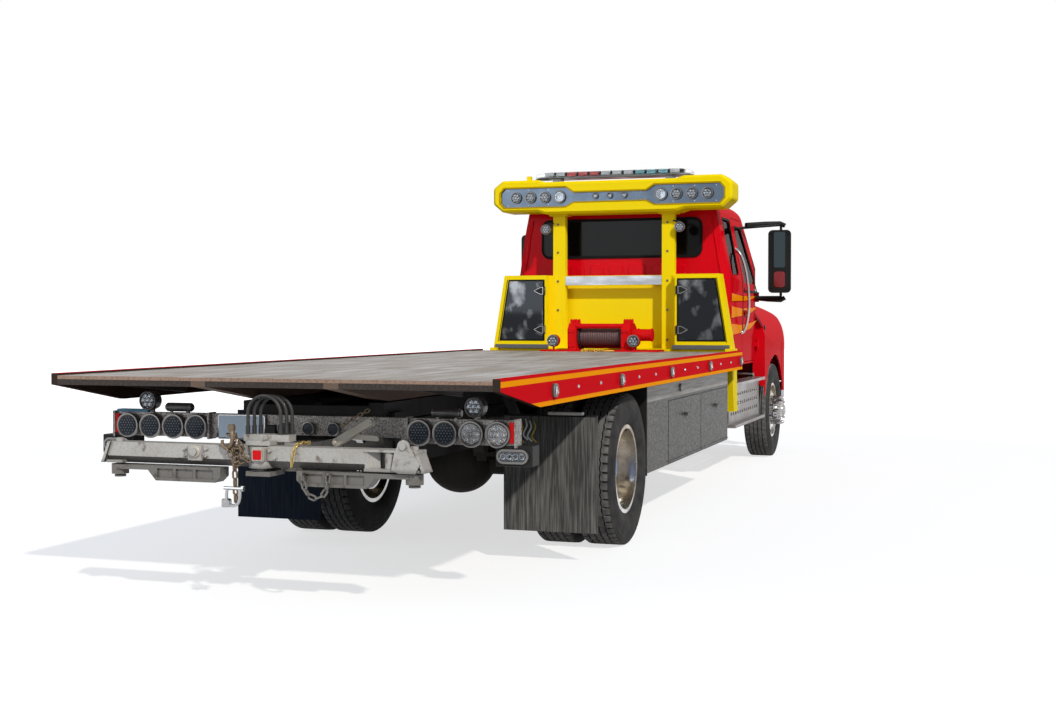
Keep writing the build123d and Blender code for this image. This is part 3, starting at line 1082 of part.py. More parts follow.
with BuildPart() as deck_lamps:
    for side in (1, -1):
        for step in range(13):
            big = step % 3 == 0
            x = RAIL_LAMP_X0 + step * RAIL_LAMP_PITCH / 3
            radius, proud = (38, 20) if big else (11, 12)
            rod((x, side * (DECK_HALF + 0.3), RAIL_LAMP_Z), (x, side * (DECK_HALF + proud), RAIL_LAMP_Z),
                radius)
keep(deck_lamps, "deck_lamps")

WINCH_X = (REAR_AXLE_X + 3520, REAR_AXLE_X + 3790)
WINCH_AXIS = (REAR_AXLE_X + 3655, 1348)
with BuildPart() as winch:
    block((WINCH_X[0] - 40, WINCH_X[1] + 20), (-560, 560), (DECK_TOP - PAN_DROP, DECK_TOP + 14))
    for y0, y1 in ((218, 300), (-300, -218)):
        side_shape([(WINCH_X[0], DECK_TOP + 14), (WINCH_X[1], DECK_TOP + 14), (WINCH_X[1], 1430),
                    (WINCH_X[1] - 70, 1478), (WINCH_X[0] + 50, 1478), (WINCH_X[0], 1420)], y0, y1 - y0)
    block((WINCH_X[0] + 20, WINCH_X[0] + 70), (-220, 220), (1432, 1472))
    block((WINCH_X[1] - 48, WINCH_X[1] - 5), (-220, 220), (1240, 1280))
    rod((WINCH_AXIS[0], -490, WINCH_AXIS[1] + 20), (WINCH_AXIS[0], -299, WINCH_AXIS[1] + 20), 56)
    rod((WINCH_AXIS[0], -305, WINCH_AXIS[1]), (WINCH_AXIS[0], 305, WINCH_AXIS[1]), 27, mode=Mode.SUBTRACT)
    # stems and heads of the two lamps beside it
    for y in (432, -345):
        rod((WINCH_X[0] - 10, y, DECK_TOP + 10), (WINCH_X[0] - 10, y, 1270), 9)
        rod((WINCH_X[0] - 34, y, 1315), (WINCH_X[0] + 14, y, 1315), 58)
keep(winch, "winch")

with BuildPart() as winch_drum:
    with BuildSketch(Plane(origin=(WINCH_AXIS[0], 0, WINCH_AXIS[1]), x_dir=(0, 1, 0), z_dir=(1, 0, 0))):
        with BuildLine():
            Polyline((-296, 0), (-296, 24), (-212, 24), (-212, 104), (-198, 104), (-198, 78), (198, 78),
                     (198, 104), (212, 104), (212, 24), (296, 24), (296, 0), close=True)
        make_face()
    revolve(axis=Axis((WINCH_AXIS[0], 0, WINCH_AXIS[1]), (0, 1, 0)))
keep(winch_drum, "winch_drum")


# ---- wheel lift --------------------------------------------------------------------------------------
BOOM_END_X = REAR_AXLE_X - 2590
with BuildPart() as lift_boom:
    block((BOOM_END_X, LIFT_PIVOT_X + 40), (-66, 66), (LIFT_Z - 62, LIFT_Z + 62))
    block((BOOM_END_X - 1, LIFT_PIVOT_X - 60), (-53, 53), (LIFT_Z - 50, LIFT_Z + 50), mode=Mode.SUBTRACT)
    block((BOOM_END_X, BOOM_END_X + 60), (-80, 80), (LIFT_Z - 74, LIFT_Z + 74))
    block((BOOM_END_X - 1, BOOM_END_X + 61), (-53, 53), (LIFT_Z - 50, LIFT_Z + 50), mode=Mode.SUBTRACT)
    rod((LIFT_PIVOT_X, -70, LIFT_Z), (LIFT_PIVOT_X, 70, LIFT_Z), 23, mode=Mode.SUBTRACT)
    # lug on the side that the lift cylinder's eye bears on
    eye_x, eye_z = LIFT_CYL_EYE
    side_shape([(eye_x - 80, LIFT_Z), (eye_x - 40, eye_z + 35), (eye_x + 40, eye_z + 35), (eye_x + 80, LIFT_Z)],
               -100, 36)
keep(lift_boom, "lift_boom")

with BuildPart() as lift_extension:
    block((CROSSBAR_X + 75, LIFT_PIVOT_X - 180), (-46, 46), (LIFT_Z - 43, LIFT_Z + 43))
    # fork that carries the crossbar's pin
    for z in (LIFT_Z - 62, LIFT_Z + 96):
        block((CROSSBAR_X - 45, CROSSBAR_X + 110), (-70, 70), (z - 12, z + 12))
    block((CROSSBAR_X + 72, CROSSBAR_X + 110), (-70, 70), (LIFT_Z - 62, LIFT_Z + 96))
    rod((CROSSBAR_X, 0, LIFT_Z - 74), (CROSSBAR_X, 0, LIFT_Z + 112), 24)
    # valve block on the fork that the hoses come from
    block((CROSSBAR_X + 20, CROSSBAR_X + 95), (-145, 118), (LIFT_Z + 100, HOSE_FOOT_Z))
keep(lift_extension, "lift_extension")

# Hoses that loop over the valve block: x ahead of the crossbar, y of the left and the right leg
HOSES = (
    (34, 100, -90),
    (58, 76, -110),
    (82, 52, -130),
)
HOSE_R = 9
HOSE_BEND_Z = 1030
with BuildPart() as lift_hoses:
    for ahead, left, right in HOSES:
        x, half = CROSSBAR_X + ahead, (left - right) / 2
        with BuildLine(cross_plane(x)) as route:
            Line((left, HOSE_FOOT_Z + 20), (left, HOSE_BEND_Z))
            ThreePointArc((left, HOSE_BEND_Z), (left - half, HOSE_BEND_Z + half), (right, HOSE_BEND_Z))
            Line((right, HOSE_BEND_Z), (right, HOSE_FOOT_Z + 20))
        with BuildSketch(Plane(origin=(x, left, HOSE_FOOT_Z + 20), z_dir=(0, 0, 1))) as section:
            Circle(HOSE_R)
        sweep(section.sketch, path=route.line)
        # crimped ends
        for y in (left, right):
            rod((x, y, HOSE_FOOT_Z), (x, y, HOSE_FOOT_Z + 45), 12)
keep(lift_hoses, "lift_hoses")


def bar_section(low, high):
    """The crossbar in side view: its rear face leans in along the foot."""
    return [(CROSSBAR_X - 45, high), (CROSSBAR_X + 45, high), (CROSSBAR_X + 45, low),
            (CROSSBAR_X - 16, low), (CROSSBAR_X - 45, low + 36)]


# The right end is open: plates above and below, a bent web, an upright roller and a corner bracket
OPEN_END_Y = 600
ROLLER_Y = 730
CORNER_BRACKET = [(-752, 776), (-790, 758), (-880, 758), (-905, 806), (-846, 896), (-786, 896), (-768, 858)]

with BuildPart() as crossbar:
    low, high = CROSSBAR_Z
    side_shape(bar_section(low, high), 60, CROSSBAR_HALF - 60)
    side_shape(bar_section(low, high), -OPEN_END_Y, OPEN_END_Y - 60)
    for z0, z1 in ((low, low + 14), (high - 12, high)):
        block((CROSSBAR_X - 54, CROSSBAR_X + 45), (-CROSSBAR_HALF, -OPEN_END_Y + 1), (z0, z1))
    block((CROSSBAR_X + 33, CROSSBAR_X + 45), (-CROSSBAR_HALF, -OPEN_END_Y + 1), (low, high))
    with BuildSketch(Plane.XY.offset(low + 13)) as web:
        with BuildLine():
            Polyline((CROSSBAR_X - 45, -OPEN_END_Y + 1), (CROSSBAR_X - 45, -OPEN_END_Y - 16),
                     (CROSSBAR_X - 2, -OPEN_END_Y - 66), (CROSSBAR_X + 10, -OPEN_END_Y - 58),
                     (CROSSBAR_X - 30, -OPEN_END_Y + 1), close=True)
        make_face()
    extrude(web.sketch, amount=high - low - 24)
    rod((CROSSBAR_X - 18, -ROLLER_Y, low + 13), (CROSSBAR_X - 18, -ROLLER_Y, high - 11), 29)
    cross_shape(CORNER_BRACKET, CROSSBAR_X - 66, 14)
    rod((CROSSBAR_X - 66, -816, 893), (CROSSBAR_X - 52, -816, 893), 31)
    rod((CROSSBAR_X - 76, -816, 893), (CROSSBAR_X - 50, -816, 893), 17)
    for side in (1, -1):
        # sloping end plate, the lugs and the pin of the arm, with its head below
        cross_shape([(side * (CROSSBAR_HALF - 24), high), (side * (CROSSBAR_HALF - 8), high),
                     (side * (CROSSBAR_HALF + 34), low), (side * (CROSSBAR_HALF + 18), low)],
                    CROSSBAR_X - 60, 105)
        cheek = sorted((side * (ARM_PIN_Y - 55), side * (CROSSBAR_HALF + 2)))
        block((CROSSBAR_X - 54, CROSSBAR_X + 54), cheek, (low, low + 13))
        rod((CROSSBAR_X, side * ARM_PIN_Y, 684), (CROSSBAR_X, side * ARM_PIN_Y, high + 18), 20)
        rod((CROSSBAR_X, side * ARM_PIN_Y, 684), (CROSSBAR_X, side * ARM_PIN_Y, 694), 30)
    # knob bracket on the left wing
    block((CROSSBAR_X - 56, CROSSBAR_X - 44), (322, 402), (788, 868))
    rod((CROSSBAR_X - 76, 362, 834), (CROSSBAR_X - 50, 362, 834), 20)
    rod((CROSSBAR_X, 0, low - 4), (CROSSBAR_X, 0, high - 4), 66)
    rod((CROSSBAR_X, 0, low - 20), (CROSSBAR_X, 0, high + 20), 25, mode=Mode.SUBTRACT)
    # square lamp in the middle, the rearmost point
    block((-BUMPER_X, CROSSBAR_X - 50), (-46, 12), (800, 858))
keep(crossbar, "crossbar")

# Chains hang clear behind the crossbar's and the arm's rear faces
CHAIN_X = CROSSBAR_X - 62
LINK_LONG, LINK_WIDE, LINK_WIRE = 50, 30, 8
LINK_PITCH = LINK_LONG - LINK_WIRE - 2


def chain(points):
    """A fused run of flat links between the points, each turned a quarter from the last."""
    for count, (start, end) in enumerate(zip(points, points[1:])):
        way = (Vector(*end) - Vector(*start)).normalized()
        across = Vector(1, 0, 0) if count % 2 else Vector(1, 0, 0).cross(way)
        middle = (Vector(*start) + Vector(*end)) / 2 - across * LINK_WIRE / 2
        with BuildSketch(Plane(origin=middle, x_dir=way, z_dir=across)) as link:
            SlotOverall(LINK_LONG, LINK_WIDE)
            SlotOverall(LINK_LONG - 2 * LINK_WIRE, LINK_WIDE - 2 * LINK_WIRE, mode=Mode.SUBTRACT)
        extrude(link.sketch, amount=LINK_WIRE)


with BuildPart() as lift_chains:
    # the hanging chain, from a stud on the bar
    chain([(CHAIN_X, 128 - 1.5 * n, 862 - LINK_PITCH * n) for n in range(8)])
    rod((CROSSBAR_X - 72, 128, 850), (CROSSBAR_X - 45, 128, 850), 12)
keep(lift_chains, "lift_chains")

ARM_SIDE = [(850, 752), (220, 752), (220, 704), (252, 674), (604, 674), (652, 728), (850, 728)]
with BuildPart() as lift_arm:
    rod((CROSSBAR_X, ARM_PIN_Y, 700), (CROSSBAR_X, ARM_PIN_Y, 752), 45)
    cross_shape(ARM_SIDE, CROSSBAR_X - 44, 88)
    # pockets between its ribs, front and back
    for y0, y1 in ((262, 366), (380, 484), (498, 596)):
        for x0, x1 in ((-45, -32), (32, 45)):
            block((CROSSBAR_X + x0, CROSSBAR_X + x1), (y0, y1), (690, 738), mode=Mode.SUBTRACT)
    rod((CROSSBAR_X, ARM_PIN_Y, 690), (CROSSBAR_X, ARM_PIN_Y, 760), 21, mode=Mode.SUBTRACT)
keep(lift_arm, "lift_arm_left")

# Loop of chain slung from two studs on the right arm: y and z along it
LOOP_STUDS = (-262, -408)
LOOP_SAG = [(-262, 740), (-267, 700), (-276, 662), (-299, 630), (-336, 616), (-373, 630), (-396, 662),
            (-404, 700), (-408, 740)]
with BuildPart() as lift_arm_right:
    mirror(lift_arm.part, about=Plane.XZ)
    chain([(CHAIN_X, y, z) for y, z in LOOP_SAG])
    for y in LOOP_STUDS:
        rod((CROSSBAR_X - 72, y, 744), (CROSSBAR_X - 40, y, 744), 7)
keep(lift_arm_right, "lift_arm_right")

lift_cyl_length = hypot(LIFT_CYL_EYE[0] - LIFT_CYL_TOP[0], LIFT_CYL_EYE[1] - LIFT_CYL_TOP[1])
lift_cyl_way = ((LIFT_CYL_EYE[0] - LIFT_CYL_TOP[0]) / lift_cyl_length,
                (LIFT_CYL_EYE[1] - LIFT_CYL_TOP[1]) / lift_cyl_length)


def along_lift_cylinder(distance):
    """A point on the lift cylinder's axis, distance from its top pin."""
    return (LIFT_CYL_TOP[0] + lift_cyl_way[0] * distance, LIFT_CYL_Y,
            LIFT_CYL_TOP[1] + lift_cyl_way[1] * distance)


with BuildPart() as lift_barrel:
    rod((LIFT_CYL_TOP[0], LIFT_CYL_Y - 20, LIFT_CYL_TOP[1]),
        (LIFT_CYL_TOP[0], LIFT_CYL_Y + 20, LIFT_CYL_TOP[1]), 34)
    rod(along_lift_cylinder(25), along_lift_cylinder(400), 34)
    rod(along_lift_cylinder(385), along_lift_cylinder(408), 38)
    rod((LIFT_CYL_TOP[0], LIFT_CYL_Y - 30, LIFT_CYL_TOP[1]),
        (LIFT_CYL_TOP[0], LIFT_CYL_Y + 30, LIFT_CYL_TOP[1]), 19, mode=Mode.SUBTRACT)
    rod(along_lift_cylinder(45), along_lift_cylinder(420), 21, mode=Mode.SUBTRACT)
keep(lift_barrel, "lift_barrel")

with BuildPart() as lift_rod:
    rod(along_lift_cylinder(110), along_lift_cylinder(lift_cyl_length - 20), 18)
    rod((LIFT_CYL_EYE[0], LIFT_CYL_Y - 20, LIFT_CYL_EYE[1]),
        (LIFT_CYL_EYE[0], LIFT_CYL_Y + 20, LIFT_CYL_EYE[1]), 30)
    # pin that points at the lug on the boom's side
    rod((LIFT_CYL_EYE[0], LIFT_CYL_Y, LIFT_CYL_EYE[1]),
        (LIFT_CYL_EYE[0], LIFT_CYL_Y + 62, LIFT_CYL_EYE[1]), 17)
keep(lift_rod, "lift_rod")
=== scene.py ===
import math
import bmesh
import bpy
import numpy as np
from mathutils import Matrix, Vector
import json


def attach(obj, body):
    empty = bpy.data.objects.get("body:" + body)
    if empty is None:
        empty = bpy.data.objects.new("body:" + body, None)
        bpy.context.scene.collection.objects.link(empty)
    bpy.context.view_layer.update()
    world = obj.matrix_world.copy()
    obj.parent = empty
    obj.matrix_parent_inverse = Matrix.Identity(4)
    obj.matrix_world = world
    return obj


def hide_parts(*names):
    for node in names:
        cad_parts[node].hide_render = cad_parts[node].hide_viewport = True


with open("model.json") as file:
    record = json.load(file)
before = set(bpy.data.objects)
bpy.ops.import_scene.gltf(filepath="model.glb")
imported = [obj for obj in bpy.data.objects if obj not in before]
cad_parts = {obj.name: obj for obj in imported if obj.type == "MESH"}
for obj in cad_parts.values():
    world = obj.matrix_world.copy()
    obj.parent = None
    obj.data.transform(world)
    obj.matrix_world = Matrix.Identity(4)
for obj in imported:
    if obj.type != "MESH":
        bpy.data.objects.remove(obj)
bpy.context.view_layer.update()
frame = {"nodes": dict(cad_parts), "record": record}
print("stage: frame loaded")

scene = bpy.context.scene
scene.view_settings.view_transform = "Standard"

# camera: place in metres, aim in radians, lens on a 36 mm sensor
viewer = {
    "place": (-11.748, -3.642, 1.521), "yaw": 0.32478, "pitch": -0.02322, "roll": 0.00059,
    "lens": 48.88,
}
camera = bpy.data.objects.new("viewer", bpy.data.cameras.new("viewer"))
scene.collection.objects.link(camera)
camera.data.lens, camera.data.sensor_width = viewer["lens"], 36.0
camera.location = viewer["place"]
camera.rotation_mode = "XYZ"
camera.rotation_euler = (math.pi / 2 + viewer["pitch"], viewer["roll"], viewer["yaw"] - math.pi / 2)
scene.camera = camera

sides = (("left", 1), ("right", -1))
rearward, upward = (-1, 0, 0), (0, 0, 1)
axles = {"rear": -2.4, "front": 4.2, "height": 0.51}


# every shape below is a pair: its points and its faces
def unit(v):  # the direction of v, one metre long
    v = np.asarray(v, float)
    return v / np.linalg.norm(v, axis=-1, keepdims=True)


def axesFor(axis):  # two directions square to the axis and to each other
    axis = unit(axis)
    helper = np.array([0.0, 0.0, 1.0]) if abs(axis[2]) < 0.9 else np.array([1.0, 0.0, 0.0])
    side = unit(np.cross(helper, axis))
    return side, np.cross(axis, side)


# quads over a grid of points, joined round where it is closed
def gridFaces(rows, cols, closeRows=False, closeCols=False):
    r = np.arange(rows if closeRows else rows - 1)[:, None]
    c = np.arange(cols if closeCols else cols - 1)[None, :]
    r2, c2 = (r + 1) % rows, (c + 1) % cols
    quads = np.stack([r * cols + c, r * cols + c2, r2 * cols + c2, r2 * cols + c], axis=-1)
    return quads.reshape(-1, 4).tolist()


def cappedFaces(rows, cols):  # a grid joined round its columns, with a lid on its first and its last row
    last = (rows - 1) * cols
    return gridFaces(rows, cols, closeCols=True) + [list(range(cols))[::-1], [last + i for i in range(cols)]]


def joined(shapes):  # several shapes as one
    points, faces, start = [], [], 0
    for p, f in shapes:
        points.append(np.asarray(p, float).reshape(-1, 3))
        faces += [[i + start for i in face] for face in f]
        start += len(points[-1])
    return np.concatenate(points), faces


def boxOf(low, high):  # a box from one corner to the opposite one
    low, high = np.minimum(low, high), np.maximum(low, high)
    pick = np.array([[i & 1, (i >> 1) & 1, (i >> 2) & 1] for i in range(8)])
    points = low + pick * (high - low)
    return points, [[0, 2, 3, 1], [4, 5, 7, 6], [0, 1, 5, 4], [2, 6, 7, 3], [0, 4, 6, 2], [1, 3, 7, 5]]


# a (radius, height) profile carried round the axis, with flat ends
def turned(profile, origin, axis, steps=32):
    profile = np.asarray(profile, float)
    side, up = axesFor(axis)
    angle = np.linspace(0, 2 * math.pi, steps, endpoint=False)
    ring = np.cos(angle)[:, None] * side + np.sin(angle)[:, None] * up
    rise = profile[:, 1, None, None] * unit(axis)
    points = profile[:, 0, None, None] * ring[None] + rise + np.asarray(origin, float)
    return points.reshape(-1, 3), cappedFaces(len(profile), steps)


# a circle carried along the path, kept square to it without twist
def tube(path, radius, steps=12, closed=False):
    path = np.asarray(path, float)
    ahead = np.roll(path, -1, 0) - np.roll(path, 1, 0)
    if not closed:
        ahead[0], ahead[-1] = path[1] - path[0], path[-1] - path[-2]
    ahead = unit(ahead)
    side = np.empty_like(path)
    side[0] = axesFor(ahead[0])[0]
    for i in range(1, len(path)):
        side[i] = unit(side[i - 1] - ahead[i] * (side[i - 1] @ ahead[i]))
    up = np.cross(ahead, side)
    angle = np.linspace(0, 2 * math.pi, steps, endpoint=False)[None, :, None]
    radius = np.broadcast_to(radius, len(path))[:, None, None]
    points = path[:, None] + radius * (np.cos(angle) * side[:, None] + np.sin(angle) * up[:, None])
    faces = gridFaces(len(path), steps, True, True) if closed else cappedFaces(len(path), steps)
    return points.reshape(-1, 3), faces


def smoothPath(points, steps):  # Catmull-Rom curve through the points, with its ends carried on straight
    p = np.asarray(points, float)
    p = np.concatenate([2 * p[:1] - p[1:2], p, 2 * p[-1:] - p[-2:-1]])
    t = np.linspace(0, 1, steps, endpoint=False)[None, :, None]
    a, b, c, d = (p[i:len(p) - 3 + i, None] for i in range(4))
    bend, turn = 2 * a - 5 * b + 4 * c - d, 3 * b - a - 3 * c + d
    curve = 0.5 * (2 * b + (c - a) * t + bend * t ** 2 + turn * t ** 3)
    return np.concatenate([curve.reshape(-1, 3), p[-2:-1]])


def prism(outline, origin, across, depth):  # an outline of (across, height) given thickness square to both
    outline = np.asarray(outline, float)
    normal = np.cross(across, upward)
    front = np.asarray(origin, float) + outline[:, :1] * np.array(across) + outline[:, 1:] * np.array(upward)
    n = len(outline)
    area = np.sum(outline[:, 0] * np.roll(outline[:, 1], -1) - np.roll(outline[:, 0], -1) * outline[:, 1])
    turn = 1 if area * depth > 0 else -1
    faces = [list(range(n))[::-turn], [n + i for i in range(n)][::turn]]
    faces += [[i, (i + 1) % n, n + (i + 1) % n, n + i][::turn] for i in range(n)]
    return np.concatenate([front, front + normal * depth]), faces


def rearPlate(outline, x, depth):  # a plate of a (y, z) outline whose rear face is at x
    return prism(outline, (x, 0, 0), (0, 1, 0), depth)


def sidePlate(outline, y, depth):  # a plate of an (x, z) outline at y, thickened to the right by depth
    return prism(outline, (0, y, 0), (1, 0, 0), depth)


# a rectangle with quarter-circle corners
def roundedOutline(width, height, radius, steps=6, middle=(0.0, 0.0)):
    angle = np.linspace(0, math.pi / 2, steps)
    corner = radius * np.stack([np.cos(angle), np.sin(angle)], 1)
    half = np.array([width / 2 - radius, height / 2 - radius])
    out = []
    for turn, sign in enumerate(((1, 1), (-1, 1), (-1, -1), (1, -1))):
        c, s = math.cos(turn * math.pi / 2), math.sin(turn * math.pi / 2)
        out.append(half * sign + corner @ np.array([[c, s], [-s, c]]))
    return np.concatenate(out) + middle


# each edge moved inwards by the distance, with corners where the moved edges meet
def insetOutline(outline, distance):
    p = np.asarray(outline, float)
    ahead = unit(np.roll(p, -1, 0) - p)
    area = np.sum(p[:, 0] * np.roll(p[:, 1], -1) - np.roll(p[:, 0], -1) * p[:, 1])
    base = p + np.stack([-ahead[:, 1], ahead[:, 0]], 1) * distance * np.sign(area)
    before, start = np.roll(ahead, 1, 0), np.roll(base, 1, 0)
    cross = before[:, 0] * ahead[:, 1] - before[:, 1] * ahead[:, 0]
    straight = np.abs(cross) < 1e-6
    gap = base - start
    along = (gap[:, 0] * ahead[:, 1] - gap[:, 1] * ahead[:, 0]) / np.where(straight, 1e9, cross)
    return np.where(straight[:, None], base, start + before * along[:, None])


# a flat frame: a (y, z) outline less its inset, with its rear face at x
def rearRing(outline, inset, x, depth):
    inner = insetOutline(outline, inset)
    loops = ((outline, x), (inner, x), (inner, x + depth), (outline, x + depth))
    points = np.concatenate([np.insert(np.asarray(loop, float), 0, at, axis=1) for loop, at in loops])
    return points, gridFaces(4, len(inner), True, True)


def mirrored(shape):  # the same shape on the other side, with its faces turned back out
    points, faces = shape
    return np.asarray(points) * (1, -1, 1), [f[::-1] for f in faces]


def bothSides(shapes):  # shapes given for the left, with their right twins
    return shapes + [mirrored(s) for s in shapes]


def spaced(path, pitch):  # points a fixed distance apart along the path
    path = np.asarray(path, float)
    run = np.concatenate([[0.0], np.cumsum(np.linalg.norm(np.diff(path, axis=0), axis=1))])
    at = np.arange(0.0, run[-1] + 1e-9, pitch)
    return np.stack([np.interp(at, run, path[:, k]) for k in range(3)], 1)


# round-wire links along the path, each a quarter turn on
def chainRun(path, long, wide, wire, facing=(1, 0, 0)):
    stops = spaced(path, long - 2 * wire)
    arc, radius, straight = np.linspace(0, math.pi, 6), (wide - wire) / 2, (long - wide) / 2
    along = np.concatenate([straight + radius * np.sin(arc), -straight - radius * np.sin(arc)])[:, None]
    aside = np.concatenate([radius * np.cos(arc), -radius * np.cos(arc)])[:, None]
    links = []
    for i, (start, end) in enumerate(zip(stops, stops[1:])):
        way = unit(end - start)
        flat = unit(np.cross(way, facing))
        across = unit(np.cross(way, flat)) if i % 2 else flat
        links.append(tube((start + end) / 2 + along * way + aside * across, wire / 2, 6, closed=True))
    return links


def flatLink(start, end, half, x, thick, steps=7):  # a flat bar with round ends between two (y, z) points
    start, end = np.asarray(start, float), np.asarray(end, float)
    lean = math.atan2(*(end - start)[::-1])
    bow = np.linspace(-1.4, 1.4, steps)  # angles of an end's arc
    caps = [at + half * np.stack([np.cos(a), np.sin(a)], 1)
            for at, a in ((end, lean + bow), (start, lean + math.pi + bow))]
    return rearPlate(np.concatenate(caps), x, thick)


# a piece: shapes joined as one mesh, normals turned out, riding on one body, in its slot's finish
def addPiece(name, shapes, body, slotName, material=None, bevel=0.0, smooth=True, replaces=()):
    points, faces = joined(shapes)
    mesh = bpy.data.meshes.new(name)
    mesh.from_pydata(points.tolist(), [], faces)
    cleaner = bmesh.new()
    cleaner.from_mesh(mesh)
    bmesh.ops.remove_doubles(cleaner, verts=cleaner.verts, dist=1e-6)
    bmesh.ops.recalc_face_normals(cleaner, faces=cleaner.faces)
    cleaner.to_mesh(mesh)
    cleaner.free()
    mesh.materials.append(material or finishes[slotName])
    piece = bpy.data.objects.new(name, mesh)
    scene.collection.objects.link(piece)
    if bevel:
        rounding = piece.modifiers.new("rounding", "BEVEL")
        rounding.width, rounding.segments, rounding.limit_method = bevel, 2, "ANGLE"
        rounding.angle_limit = math.radians(40)
        rounding.harden_normals = True
    if smooth:
        mesh.shade_smooth()
        mesh.set_sharp_from_angle(angle=math.radians(35))
    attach(piece, body)
    if replaces:
        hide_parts(*replaces)


def rgb(color):  # a colour of three parts given its alpha; a socket stays as it is
    return (*color, 1.0) if isinstance(color, tuple) else color


# set the node's inputs, or link those whose value is another node's socket
def feed(tree, node, inputs):
    for label, value in inputs.items():
        if isinstance(value, bpy.types.NodeSocket):
            tree.links.new(value, node.inputs[label])
        else:
            node.inputs[label].default_value = value
    return node


def put(tree, kind, inputs=(), **settings):  # one new node with its settings and inputs
    node = tree.nodes.new("ShaderNode" + kind)
    for key, value in settings.items():
        setattr(node, key, value)
    return feed(tree, node, dict(inputs))


def mathOf(tree, operation, *values, clamp=False):  # the result of one Math node
    return put(tree, "Math", enumerate(values), operation=operation, use_clamp=clamp).outputs[0]


def plus(tree, a, b):  # a + b
    return mathOf(tree, "ADD", a, b)


def minus(tree, a, b, clamp=False):  # a - b
    return mathOf(tree, "SUBTRACT", a, b, clamp=clamp)


def times(tree, a, b, clamp=False):  # a times b
    return mathOf(tree, "MULTIPLY", a, b, clamp=clamp)


def over(tree, value, limit):  # 1 where the value is over the limit, otherwise 0
    return mathOf(tree, "GREATER_THAN", value, limit)


def ramp(tree, value, start, end):  # 0 at start, rising to 1 at end
    return put(tree, "MapRange", {"Value": value, "From Min": start, "From Max": end}).outputs[0]


def places(tree):  # a point's own coordinates, whole and by axis
    whole = put(tree, "TexCoord").outputs["Object"]
    return whole, put(tree, "SeparateXYZ", {"Vector": whole}).outputs


def facing(tree):  # how far the surface faces along each axis
    return put(tree, "SeparateXYZ", {"Vector": put(tree, "NewGeometry").outputs["Normal"]}).outputs


# noise cut to a mask of 0 to 1
def noiseMask(tree, vector, scale, low, high, detail=4.0, stretch=(1, 1, 1)):
    moved = put(tree, "Mapping", {"Vector": vector, "Scale": stretch})
    noise = put(tree, "TexNoise", {"Vector": moved.outputs[0], "Scale": scale, "Detail": detail})
    return ramp(tree, noise.outputs["Fac"], low, high)


def mixColor(tree, share, under, top):  # the colour under, with a share of the colour on top
    return put(tree, "Mix", {0: share, 6: rgb(under), 7: rgb(top)}, data_type="RGBA").outputs[2]


# colours laid over the base one after another, each by its mask times its share
def layered(tree, base, layers):
    for mask, share, color in layers:
        base = mixColor(tree, times(tree, mask, share), base, color)
    return base


def bumpOf(tree, height, strength, distance):  # a normal raised by the height
    return put(tree, "Bump", {"Height": height, "Strength": strength, "Distance": distance}).outputs[0]


# a node group: its inputs with their first values, its outputs with their kinds
def newGroup(name, inputs, outputs):
    group = bpy.data.node_groups.new(name, "ShaderNodeTree")
    for label, value in inputs.items():
        kind = "Color" if isinstance(value, tuple) else "Float"
        socket = group.interface.new_socket(label, in_out="INPUT", socket_type="NodeSocket" + kind)
        socket.default_value = value
    for label, kind in outputs.items():
        group.interface.new_socket(label, in_out="OUTPUT", socket_type="NodeSocket" + kind)
    return group, group.nodes.new("NodeGroupInput").outputs, group.nodes.new("NodeGroupOutput")


dust = (0.17, 0.15, 0.12)


# road film: dust that settles low down and in patches, over any finish
def makeRoadFilm():
    group, given, out = newGroup(
        "roadFilm",
        {"Color": (0.5, 0.5, 0.5, 1.0), "Roughness": 0.4, "Film": rgb(dust), "Amount": 0.4,
         "Fade Height": 1.3},
        {"Color": "Color", "Roughness": "Float", "Mask": "Float"})
    place, axis = places(group)
    low = minus(group, 1.0, mathOf(group, "DIVIDE", axis["Z"], given["Fade Height"]), clamp=True)
    patches = noiseMask(group, place, 2.2, 0.32, 0.72, 6.0)
    runs = noiseMask(group, place, 9.0, 0.4, 0.75, 3.0, (1.0, 1.0, 0.14))
    spread = plus(group, times(group, patches, 0.6), times(group, runs, 0.4))
    rise = plus(group, times(group, low, 0.9), 0.16)
    mask = times(group, times(group, rise, spread), given["Amount"], clamp=True)
    dulling = times(group, mask, minus(group, 0.85, given["Roughness"]))
    feed(group, out, {"Color": mixColor(group, mask, given["Color"], given["Film"]),
                      "Roughness": plus(group, given["Roughness"], dulling), "Mask": mask})
    return group


# chips: small bare or rusty spots, where fine noise plus half of wide noise passes a level
def makeChips():
    group, given, out = newGroup(
        "chips",
        {"Color": (0.5, 0.5, 0.5, 1.0), "Under": (0.12, 0.06, 0.035, 1.0), "Amount": 0.5, "Scale": 22.0},
        {"Color": "Color", "Mask": "Float"})
    place = places(group)[0]
    fine = put(group, "TexNoise", {"Vector": place, "Scale": given["Scale"], "Detail": 8.0, "Roughness": 0.7})
    wide = put(group, "TexNoise", {"Vector": place, "Scale": 1.7, "Detail": 2.0})
    level = plus(group, fine.outputs["Fac"], times(group, wide.outputs["Fac"], 0.5))
    edge = minus(group, 1.04, times(group, given["Amount"], 0.2))
    mask = times(group, minus(group, level, edge), 30.0, clamp=True)
    feed(group, out, {"Color": mixColor(group, mask, given["Color"], given["Under"]), "Mask": mask})
    return group


# fine unevenness of a coat or a cast skin, as a normal
def makeGrain():
    group, given, out = newGroup("grain", {"Scale": 60.0, "Strength": 0.3, "Size": 0.001},
                                 {"Normal": "Vector"})
    noise = put(group, "TexNoise", {"Vector": places(group)[0], "Scale": given["Scale"], "Detail": 6.0})
    feed(group, out, {"Normal": bumpOf(group, noise.outputs["Fac"], given["Strength"], given["Size"])})
    return group


